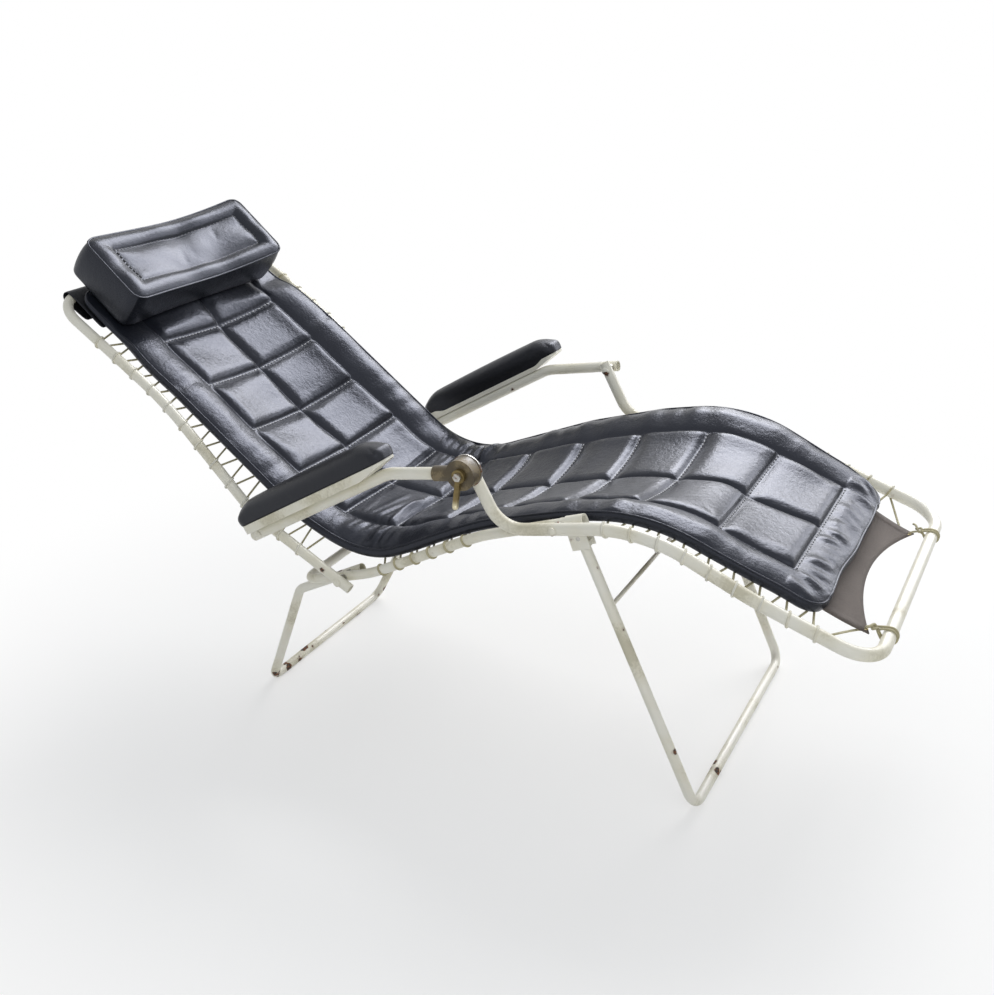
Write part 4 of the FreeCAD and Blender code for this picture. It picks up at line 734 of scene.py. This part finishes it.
arm_vinyl = vinyl("arm_vinyl", (0.0085, 0.0090, 0.0100), 0.0016, 0.34, 0.0003)
ARM_SLOPE, ARM_START, ARM_Y = math.radians(27.2), (-337.46, 431.06), 335.5
ARM_LENGTH, ARM_HALF, ARM_TOP, ARM_FOOT, ARM_FLAP, ARM_CORNER, ARM_ROUND = 390, 31, 40, 28.4, 15, 22, 48


def sloped(at, slope, along, y, height):
    """Points in metres, from millimetres along and above a slope that starts at a point of the side view."""
    return np.stack([at[0] + along * math.cos(slope) - height * math.sin(slope), y,
                     at[1] + along * math.sin(slope) + height * math.cos(slope)], -1) * MM


def spaced(marks, counts):
    """Numbers from mark to mark, closer together near each mark."""
    out = [marks[0]]
    for low, high, count in zip(marks, marks[1:], counts):
        share = np.arange(1, count + 1) / count
        out += list(low + (high - low) * (0.45 * share + 0.55 * (1 - np.cos(np.pi * share)) / 2))
    return np.array(out)


def soften(x, y, half_x, half_y, radius):
    """Points of a rectangle, with those in its corner squares moved on to arcs."""
    in_x, in_y = np.abs(x) - (half_x - radius), np.abs(y) - (half_y - radius)
    cornered = (in_x > 0) & (in_y > 0)
    share = np.where(cornered, np.maximum(in_x, in_y) / np.maximum(np.hypot(in_x, in_y), 1e-6), 1.0)
    return (np.where(cornered, np.sign(x) * (half_x - radius + in_x * share), x),
            np.where(cornered, np.sign(y) * (half_y - radius + in_y * share), y))


def arm_pad(name, sign):
    cells = (90, 16, 8)
    (i, j, k), faces = box_skin(cells)
    u, across, w = spaced([-1, -0.9, 0.9, 1], [14, 62, 14])[i], j / cells[1] * 2 - 1, k / cells[2]
    along, y = soften(u * ARM_LENGTH / 2, across * ARM_HALF, ARM_LENGTH / 2, ARM_HALF, ARM_CORNER)
    from_end = ARM_LENGTH / 2 - np.abs(along)
    round_off = 1 - np.clip(1 - from_end / ARM_ROUND, 0, 1) ** 1.7
    crown = ARM_TOP * (0.52 + 0.48 * round_off) * (1 - 0.26 * np.abs(across) ** 3.0)
    inner = np.clip(-sign * across, 0, 1)
    flap = ARM_FLAP * (1 - w) * ease((inner - 0.965) / 0.03) * ease((from_end - 12) / 50)
    along = ARM_LENGTH / 2 + along * (1 - 0.004 * (1 - w) ** 2 - 0.02 * w ** 5)
    y = y * (1 - 0.09 * (1 - w) ** 2 - 0.10 * w ** 5)
    points = sloped(ARM_START, ARM_SLOPE, along, sign * ARM_Y + y, ARM_FOOT + w * crown - flap)
    obj = new_piece(name, points, outwards(points, faces), arm_vinyl)
    plump(obj, w < 0.4, 2.0, 0.003)
    return refine(obj)


for side, sign in SIDES:
    cushion = arm_pad(f"armrest_pad_{side}", sign)
    belong(cushion, "arm_vinyl", f"armrest_{side}", f"arm_pad_{side}")


# ---- Quilted pad ----
# One long pad of black vinyl over wadding lies on the sling. It is sewn through in two columns of
# squares with a plain border, top-stitched along each cross seam, and welted round its rim.
# The border is gathered at the foot, and the cover creases where the body folds.

PAD_HALF, PAD_END, SEAM_Y = 249, lie_line.length - 107, 172
CROSS_SEAMS = [36 + 130 * k for k in range(10)] + [PAD_END - 69 - 137.5 * k for k in (2, 1, 0)]
FIRST_SEAM, LAST_SEAM = CROSS_SEAMS[0], CROSS_SEAMS[-1]
SEAM_THICK, CROWN, RIM = 14.5, 26.5, 18.5
ROLL, STRIP = 13, 7     # the cover rolls over before each cross seam and lies flat after it
HOOD_HIGH, HOOD_LOW, HOOD_REACH = 12.8, 4.3, 82
DROOP = ((0.40, 850, 130), (0.10, 1420, 160))   # how steep the near edge hangs, where, over what length
FOLD_RINGS, RINGS = 29, 20      # from seam to seam, where the body folds and elsewhere
pad_vinyl = vinyl("pad_vinyl", (0.0105, 0.0120, 0.0170), 0.0023, 0.26, 0.0009)


def in_border(distance, y):
    return (np.abs(y) > SEAM_Y) | (distance < FIRST_SEAM) | (distance > LAST_SEAM)


def pad_under(distance, y):
    """Underside of the pad above the line: on the sling, drooping past its edge, riding on the hood."""
    out = np.abs(y)
    lying = 2.0 + sling_height(distance, np.minimum(out / SLING_HALF, 1.0))
    steep = 0.10
    for tall, middle, wide in DROOP:
        steep = steep + tall * np.exp(-((distance - middle) / wide) ** 2)
    past = np.maximum(out - 198, 0)
    lying = lying - np.where(y < 0, steep, 0.0) * past ** 2 / (past + 16)
    lying = lying + 12 * ease((y - 120) / 110) * ease((distance - 60) / 120) * ease((1690 - distance) / 110)
    hood = HOOD_HIGH + (HOOD_LOW - HOOD_HIGH) * np.clip(distance / HOOD_REACH, 0, 1) + 0.4
    return lying + (hood - lying) * (1 - ease((distance - HOOD_REACH) / 130))


def pad_thickness(distance, y):
    """Quilted: thin at the seams, full between them, with a flat stitched strip past each cross seam."""
    out = np.abs(y)
    past = np.asarray(distance)[..., None] - np.array(CROSS_SEAMS)
    after, before = np.where(past >= 0, past, 999).min(-1), np.where(past < 0, -past, 999).min(-1)
    roll = np.sqrt(1 - (1 - np.clip(before / ROLL, 0, 1)) ** 2)
    fold_in = roll * (1 - np.exp(-np.maximum(after - STRIP, 0) / 9.0) * 0.85)
    to_long = np.minimum(out, np.abs(out - SEAM_Y))
    border = in_border(distance, y)
    ahead = np.maximum(np.maximum(FIRST_SEAM - distance, distance - LAST_SEAM), 0)
    to_quilt = np.hypot(np.maximum(out - SEAM_Y, 0), ahead)
    to_rim = np.minimum(np.minimum(PAD_HALF - out, PAD_END - distance), distance)
    full = np.where(border, 0.52 * (1 - np.exp(-to_quilt / 5.0)), fold_in * (1 - np.exp(-to_long / 5.5)))
    thick = SEAM_THICK + (CROWN - SEAM_THICK) * full
    rolled = RIM + (thick - RIM) * np.sqrt(np.clip(1 - (1 - np.clip(to_rim / 9, 0, 1)) ** 2, 0, 1))
    return np.where(border, rolled, thick) * (0.62 + 0.38 * ease((distance - 110) / 50))


def pad_creases(distance, y):
    """Millimetres that the cover stands up: gathers in the foot border, creases where the body folds."""
    rng = np.random.default_rng(11)
    rise = np.zeros(np.shape(y))
    reach = np.clip((distance - LAST_SEAM) / (PAD_END - LAST_SEAM), 0, 1)
    spot = -PAD_HALF + 16
    while spot < PAD_HALF - 12:
        lean, wide, tall = rng.uniform(-30, 30), rng.uniform(8, 15), rng.uniform(3.0, 7.0)
        start, stop = rng.uniform(-0.25, 0.3), rng.uniform(0.7, 1.15)
        fade = np.sin(np.pi * np.clip((reach - start) / (stop - start), 0, 1)) * np.sin(np.pi * reach) ** 0.4
        rise += tall * np.exp(-((y - spot - lean * (reach - 0.5)) / wide) ** 2) * fade
        spot += rng.uniform(22, 48)
    for side in (-1, 1):
        for middle in np.arange(700, 872, 21.0):
            at, lean, wide = middle + rng.uniform(-6, 6), rng.uniform(-0.28, 0.28), rng.uniform(5, 8)
            inner, tall = rng.uniform(5, 95), rng.uniform(4.0, 8.0) * np.exp(-((middle - 785) / 75) ** 2)
            along = (distance - at - lean * (np.abs(y) - 150)) / wide
            edge = ease((side * y - inner) / 50) * (1 - ease((side * y - 222) / 24))
            rise += tall * np.exp(-along ** 2) * edge
    for _ in range(5):
        pitch, turn, lie = rng.uniform(70, 190), rng.uniform(0, 6.28), rng.uniform(-0.6, 0.6)
        rise += 0.55 * np.sin((distance + lie * y) * 2 * np.pi / pitch + turn)
    ripple = ease((np.abs(y) - SEAM_Y - 6) / 20) * ease((distance - 200) / 80) * ease((1560 - distance) / 60)
    rise += 1.2 * ripple * np.sin(distance / 9.5 + 2.0 * np.sin(distance / 41.0) + np.sign(y))
    return rise


def top_points(obj, rows, cols, on_top):
    """The points on top of a piece made from a box skin, as a grid."""
    grid = np.zeros((rows.max() + 1, cols.max() + 1, 3))
    grid[rows[on_top], cols[on_top]] = points_of(obj.data)[on_top]
    return grid


across_marks = spaced([-PAD_HALF, -SEAM_Y, 0, SEAM_Y, PAD_HALF], [11, 24, 24, 11])
along_marks = spaced([0] + CROSS_SEAMS + [PAD_END],
                     [7] + [FOLD_RINGS if 680 < d < 940 else RINGS for d in CROSS_SEAMS[:-1]] + [16])
pad_cells = (len(across_marks) - 1, len(along_marks) - 1, 4)
(pad_i, pad_j, pad_k), pad_faces = box_skin(pad_cells)
pad_d, pad_y, pad_w = along_marks[pad_j], across_marks[pad_i], pad_k / pad_cells[2]
pad_out = np.abs(pad_y)
rounding = np.where(pad_d > SPLIT, 44, 30)
to_end = np.minimum(np.minimum(pad_d, PAD_END - pad_d), rounding)
drawn = PAD_HALF - rounding + np.sqrt(rounding ** 2 - (rounding - to_end) ** 2)
drawn = drawn - 11 * ease((pad_d - 1440) / 200)
drawn = drawn + np.where(pad_y < 0, 9, 0) * ease((pad_d - 120) / 120) * ease((700 - pad_d) / 120)
border_y = SEAM_Y + (pad_out - SEAM_Y) * (drawn - SEAM_Y) / (PAD_HALF - SEAM_Y)
plan_y = np.where(pad_out > SEAM_Y, np.sign(pad_y) * border_y, pad_y)
side_wall, end_wall = pad_i % pad_cells[0] == 0, pad_j % pad_cells[1] == 0
bulge = 4 * np.sin(np.pi * pad_w)
plan_y = plan_y + np.where(side_wall, np.sign(pad_y) * bulge, 0)
wavy = 2.0 * np.sin(pad_y / 47 + 0.6) - 1.2 * np.sin(pad_y / 24 - 1.0)
plan_d = pad_d + np.where(end_wall, np.sign(pad_d - 1) * bulge, 0)
plan_d = plan_d + wavy * ease((pad_d - LAST_SEAM - 12) / 50)
pad_points = lie_line.place(plan_d, plan_y, pad_under(pad_d, pad_y) + pad_w * pad_thickness(pad_d, pad_y))
quilt = new_piece("quilted_pad", pad_points, outwards(pad_points, pad_faces), pad_vinyl)
map_uv(quilt, np.stack([pad_y, pad_d], -1) * MM)
quilt.data.attributes.new("along", "FLOAT", "POINT").data.foreach_set("value", pad_d.astype(np.float32))
on_top = pad_k == pad_cells[2]
on_long_seam = np.isin(pad_y, [0, SEAM_Y, -SEAM_Y]) & (pad_d >= FIRST_SEAM) & (pad_d <= LAST_SEAM)
on_cross_seam = np.isin(pad_d, CROSS_SEAMS) & (pad_out <= SEAM_Y)
pad_sewn = (pad_k == 0) | (on_top & (side_wall | end_wall | on_long_seam | on_cross_seam))
plump(quilt, pad_sewn, 3.5, np.where(in_border(pad_d, pad_y), 0.0008, 0.0012))
free_top = on_top & ~pad_sewn
raised = points_of(quilt.data)
to_seam = np.where(pad_out < SEAM_Y, np.abs(pad_d[:, None] - CROSS_SEAMS).min(1), pad_out - SEAM_Y)
crease_rise = pad_creases(pad_d, pad_y) * (1 - np.exp(-to_seam / 8))
upwards = lie_line.place(pad_d, pad_y, 1.0) - lie_line.place(pad_d, pad_y, 0.0)
raised[free_top] += upwards[free_top] * crease_rise[free_top, None]
quilt.data.vertices.foreach_set("co", raised.astype(np.float32).ravel())
top_grid = top_points(quilt, pad_j, pad_i, on_top)
refine(quilt)
quilt_skin = BVHTree.FromPolygons([v.co for v in quilt.data.vertices],
                                  [list(f.vertices) for f in quilt.data.polygons])


def cut_pad(name, keep_upper):
    """One of the two lengths that the pad is shown in, closed where it is cut in a cross seam."""
    obj = put(name, quilt.data.copy())
    work = bmesh.new()
    work.from_mesh(obj.data)
    along = work.verts.layers.float["along"]
    gone = [f for f in work.faces if (sum(v[along] for v in f.verts) / len(f.verts) < SPLIT) != keep_upper]
    bmesh.ops.delete(work, geom=gone, context="FACES")
    open_edges = [e for e in work.edges if e.is_boundary]
    for edge in open_edges:
        edge.smooth = False
    bmesh.ops.holes_fill(work, edges=open_edges)
    work.to_mesh(obj.data)
    work.free()
    return obj


for place, replaced in (("upper", ("back_pad", "seat_pad")), ("lower", ("seat_pad", "leg_pad"))):
    length = cut_pad(f"{place}_pad", place == "upper")
    belong(length, "pad_vinyl", place, *replaced)
bpy.data.objects.remove(quilt)


def grid_line(distance, ys, lift):
    """Points on the top of the finished pad, a little above it."""
    rows = np.stack([[np.interp(distance, along_marks, top_grid[:, c, axis]) for axis in range(3)]
                     for c in range(len(across_marks))])
    line = np.stack([np.interp(ys, across_marks, rows[:, axis]) for axis in range(3)], -1)
    way = lie_line.heading(distance)
    up = Vector((-way[1], 0, way[0]))
    spots = [quilt_skin.ray_cast(Vector(point) + up * 0.03, -up)[0] for point in line]
    return [tuple(spot + up * lift) for spot in spots if spot is not None]


def stitch_row(add, inlet):
    """Short plump stitches laid end to end along a line."""
    tangent = add("GeometryNodeInputTangent", {})
    turned = add("FunctionNodeAlignRotationToVector", {"Vector": tangent}, {"axis": "X"})
    thread = add("GeometryNodeMeshUVSphere", {"Segments": 6, "Rings": 5, "Radius": 1.0})
    scale = add("ShaderNodeCombineXYZ",
                {"X": inlet["Half length"], "Y": inlet["Thread"], "Z": inlet["Thread"]})
    return add("GeometryNodeInstanceOnPoints", {"Points": even_line(add, inlet, "Spacing"),
                                                "Instance": thread, "Rotation": turned, "Scale": scale})


stitch_tree = build_tree("stitch_row", ("Spacing", "Half length", "Thread"), stitch_row)


def thread_finish(name, dark, light):
    def coat(place):
        fuzz = place.noise(900.0, 2.0)
        return {"Base Color": fuzz.mix(dark, light), "Roughness": 0.5, "Normal": fuzz.bump(0.3, 0.0002)}
    return finish(name, coat)


# the pad's stitches are painted light grey: partly the thread's own colour, partly a painted glint of light on them
thread = thread_finish("grey_thread_and_glint", (0.30, 0.305, 0.32), (0.52, 0.525, 0.54))
STITCH = {"Spacing": 0.0095, "Half length": 0.0033, "Thread": 0.0015}
STITCH_PAST = 4.0       # millimetres from the seam to its row of stitches
sewing_ys = np.arange(-SEAM_Y + 5, SEAM_Y - 4, 4.0)
columns = (sewing_ys[sewing_ys < -5], sewing_ys[sewing_ys > 5])
for place, seams in (("upper", [d for d in CROSS_SEAMS if 100 < d < SPLIT]),
                     ("lower", [d for d in CROSS_SEAMS if d >= SPLIT])):
    rows = [grid_line(d + STITCH_PAST, ys, 0.0005) for d in seams for ys in columns]
    belong(grow(f"{place}_pad_stitches", stitch_tree, rows, thread, STITCH), "pad_vinyl", place)

rim_left, rim_right = top_grid[:, 0], top_grid[:, -1]
split_row = int(np.argmin(np.abs(along_marks - SPLIT)))
loops = {"upper": np.vstack([rim_left[:split_row + 1][::-1], top_grid[0, 1:-1], rim_right[:split_row + 1]]),
         "lower": np.vstack([rim_left[split_row:], top_grid[-1, 1:-1], rim_right[split_row:][::-1]])}
for place, line in loops.items():
    welt = grow(f"{place}_pad_welt", cord_tree, [smooth_line(line)], pad_vinyl,
                {"Radius": 0.0019, "Step": 0.004})
    belong(welt, "pad_vinyl", place)


# ---- Hood ----
# A sleeve of black vinyl is pulled over the top of the back frame and hemmed. It keeps the pad and the
# pillow from slipping, and covers the cross tube.

hood_vinyl = vinyl("hood_vinyl", (0.0085, 0.0090, 0.0100), 0.0018, 0.42, 0.0005)
HOOD_SLOPE, HOOD_AT, HOOD_HALF, HOOD_R, HOOD_CUT = math.radians(-37), (-802.1, 851.2), 258, 11.6, 0.200
hood_section = [(100, 3.0), (84, 3.6), (60, 6.6), (36, 9.8), (18, HOOD_R)]
hood_section += [(HOOD_R * math.cos(a), HOOD_R * math.sin(a)) for a in np.radians(np.arange(90, 271, 15))]
hood_section += [(16, -HOOD_R), (36, -11.2), (60, -10.6)]
down, out = np.array(hood_section).T
hood_y = np.linspace(-1, 1, 61)
rows = []
for t in hood_y:
    ripple = np.sin(t * 23) * np.clip((down - 20) / 60, 0, 1)
    shrink = 0.965 if abs(t) > 0.985 else 1.0
    along = down - 3 * (1 - t * t) * (down > 50)
    rise = (out + 0.35 * ripple * np.sign(out)) * shrink
    rows.append(sloped(HOOD_AT, HOOD_SLOPE, along, np.full(len(along), t * HOOD_HALF), rise))
n = len(down)
hood = new_piece("vinyl_hood", np.vstack(rows),
                 [[r * n + c, (r + 1) * n + c, (r + 1) * n + c + 1, r * n + c + 1]
                  for r in range(len(hood_y) - 1) for c in range(n - 1)], hood_vinyl)
sheet = hood.modifiers.new("vinyl", "SOLIDIFY")
sheet.thickness, sheet.offset = 0.0022, 0.0
refine(hood)
belong(hood, "hood_vinyl", "back", "head_hood")


# ---- Head pillow ----
# A box pillow of the same vinyl, stuffed with wadding and hollowed by use, sits at the top of the back.
# Its top panel is welted to the sides and top-stitched in a second rectangle further in.

PILLOW_AT, PILLOW_SLOPE = (-745.0, 852.2), math.radians(-44)
PILLOW_HALF, PILLOW_DEPTH, END_HIGH, MID_HIGH, PANEL_INSET, SOFT_CORNER = 214, 168, 80, 64, 40, 24
PANEL_RINGS = 10        # from the rim to the panel's stitches
pillow_vinyl = vinyl("pillow_vinyl", (0.0105, 0.0120, 0.0160), 0.0020, 0.25, 0.0005)
pillow_x, pillow_y = (spaced([-1, -1 + inset, 1 - inset, 1], [PANEL_RINGS, count, PANEL_RINGS])
                      for inset, count in ((2 * PANEL_INSET / PILLOW_DEPTH, 18),
                                           (PANEL_INSET / PILLOW_HALF, 56)))
pillow_cells = (len(pillow_x) - 1, len(pillow_y) - 1, 12)
(p_i, p_j, p_k), pillow_faces = box_skin(pillow_cells)
px, py, pw = pillow_x[p_i], pillow_y[p_j], p_k / pillow_cells[2]
p_top = p_k == pillow_cells[2]
half_x, half_y = PILLOW_DEPTH / 2, PILLOW_HALF + 26 * np.clip(-py, 0, 1) ** 3
flat_x, flat_y = soften(px * half_x, py * half_y, half_x, half_y, SOFT_CORNER)
tall = MID_HIGH + (END_HIGH - MID_HIGH) * np.abs(py) ** 1.8 + 8 * np.clip(py, 0, 1) ** 1.5
side_swell = 1 + 0.030 * np.sin(np.pi * pw) ** 0.8 - 0.02 * pw ** 6
ring = np.minimum((1 - np.abs(px)) * half_x, (1 - np.abs(py)) * half_y)
puff = np.where(ring < PANEL_INSET, 9 * np.sin(np.pi * np.clip(ring / PANEL_INSET, 0, 1)) ** 0.8,
                4 * (1 - np.exp(-(ring - PANEL_INSET) / 9)) - 3 * (1 - py ** 2))
rumple = 1.5 * np.sin(py * 7 + 3 * px + 2 * np.sin(3 * py)) + 1.2 * np.sin(py * 3 - 8 * px + 1)
top_lift = np.where(p_top, puff + rumple * np.clip(ring / 12, 0, 1), 0)
pillow_points = sloped(PILLOW_AT, PILLOW_SLOPE,
                       (flat_x * (1 - 0.03 * (1 - py ** 2)) + 5 * np.clip(-py, 0, 1) ** 3) * side_swell,
                       flat_y * (1 + (side_swell - 1) * 0.4), 1 + pw * tall + top_lift)
pillow = new_piece("head_pillow", pillow_points, outwards(pillow_points, pillow_faces), pillow_vinyl)
p_edge = (p_i % pillow_cells[0] == 0) | (p_j % pillow_cells[1] == 0)
panel = (PANEL_RINGS, pillow_cells[0] - PANEL_RINGS, PANEL_RINGS, pillow_cells[1] - PANEL_RINGS)
inside_i, inside_j = (p_i >= panel[0]) & (p_i <= panel[1]), (p_j >= panel[2]) & (p_j <= panel[3])
p_panel = (np.isin(p_i, panel[:2]) & inside_j) | (np.isin(p_j, panel[2:]) & inside_i)
p_sewn = (p_k == 0) | (p_top & (p_edge | p_panel))
plump(pillow, p_sewn, 4.0, 0.008)
p_grid = top_points(pillow, p_i, p_j, p_top)
refine(pillow)
belong(pillow, "pillow_vinyl", "back", "pillow")


def grid_loop(grid, i0, i1, j0, j1):
    """The closed line round part of a grid of points."""
    return np.vstack([grid[i0, j0:j1], grid[i0:i1, j1], grid[i1, j1:j0:-1], grid[i1:i0:-1, j0],
                      grid[i0, j0:j0 + 1]])


rim = grid_loop(p_grid, 0, pillow_cells[0], 0, pillow_cells[1])
pillow_welt = grow("pillow_welt", cord_tree, [rim], pillow_vinyl, {"Radius": 0.0022, "Step": 0.004})
lift = np.array([-math.sin(PILLOW_SLOPE), 0, math.cos(PILLOW_SLOPE)]) * 0.0004
dark_thread = thread_finish("dark_thread", (0.05, 0.052, 0.06), (0.12, 0.122, 0.13))
panel_line = grid_loop(p_grid, *panel) + lift
pillow_stitches = grow("pillow_stitches", stitch_tree, [panel_line], dark_thread, STITCH)
for obj in (pillow_welt, pillow_stitches):
    belong(obj, "pillow_vinyl", "back")


# ---- Floor and light ----
# A plain pale floor runs out into white. One wide soft lamp high behind the lounger is the open sky, and
# a weaker one fills from the viewer's side. Two more act on gloss only, as the sky's reflection.

FLOOR = 30


def floor_coat(place):
    return {"Base Color": place.noise(3.0, 2.0).mix((0.90, 0.90, 0.895), (0.92, 0.92, 0.915)),
            "Roughness": 0.9}


floor_paint = finish("pale_floor", floor_coat)
floor = new_piece("floor", [(-FLOOR, -FLOOR, 0), (FLOOR, -FLOOR, 0), (FLOOR, FLOOR, 0), (-FLOOR, FLOOR, 0)],
                  [[0, 1, 2, 3]], floor_paint)


def seen_directly(tree):
    """1 for what the camera sees, in metal and glass too, and 0 for light that falls on the object."""
    ray = tree.nodes.new("ShaderNodeLightPath")
    seen = Shade(tree, ray.outputs["Is Camera Ray"])
    for kind in ("Is Glossy Ray", "Is Transmission Ray"):
        seen = seen.maths("MAXIMUM", seen, Shade(tree, ray.outputs[kind]))
    return seen


# away from the object the floor runs out into the white background
tree = floor_paint.node_tree
shade = Shade(tree)
place = shade.make("TexCoord", {}, "Object", {})
far = shade.make("VectorMath", {"operation": "LENGTH"}, "Value", {0: place}).step(0.7, 1.7)
white = shade.make("Emission", {}, 0, {"Color": (1.0, 1.0, 1.0), "Strength": 1.0})
painted = Shade(tree, tree.nodes["Principled BSDF"].outputs[0])
both = shade.make("MixShader", {}, 0,
                  {0: (0.5 + far * 0.5) * seen_directly(tree), 1: painted, 2: white})
shade.feed(tree.nodes["Material Output"].inputs["Surface"], both)


def lamp(name, place, target, size, power, tint, gloss_only=False):
    light = bpy.data.lights.new(name, "AREA")
    light.shape, light.energy, light.color = "RECTANGLE", power, tint
    light.size, light.size_y = size
    obj = put(name, light)
    obj.location = place
    obj.rotation_euler = (Vector(target) - Vector(place)).to_track_quat("-Z", "Y").to_euler()
    obj.visible_diffuse = not gloss_only


lamp("sky_lamp", (0.05, 2.8, 3.0), (-0.2, 0, 0.5), (2.3, 2.7), 118, (1.0, 0.99, 0.975))
lamp("gloss_lamp", (0.0, 2.9, 3.2), (-0.5, 0, 0.65), (2.2, 2.4), 92, (0.84, 0.87, 1.0), gloss_only=True)
lamp("edge_lamp", (1.65, 2.75, 1.7), (-0.5, 0, 0.65), (1.1, 2.2), 38, (0.90, 0.92, 1.0), gloss_only=True)
lamp("fill_lamp", (2.6, -2.4, 2.6), (0, 0, 0.5), (2.0, 2.0), 22, (0.97, 0.985, 1.0))

world = bpy.data.worlds.new("studio")
scene.world = world
world.use_nodes = True
seen = seen_directly(world.node_tree)
backdrop = world.node_tree.nodes["Background"]
seen.feed(backdrop.inputs["Color"], seen.mix((0.93, 0.96, 1.0), (1.0, 1.0, 1.0)))
seen.feed(backdrop.inputs["Strength"], 0.50 + seen * 0.50)
scene.view_settings.view_transform = "Standard"
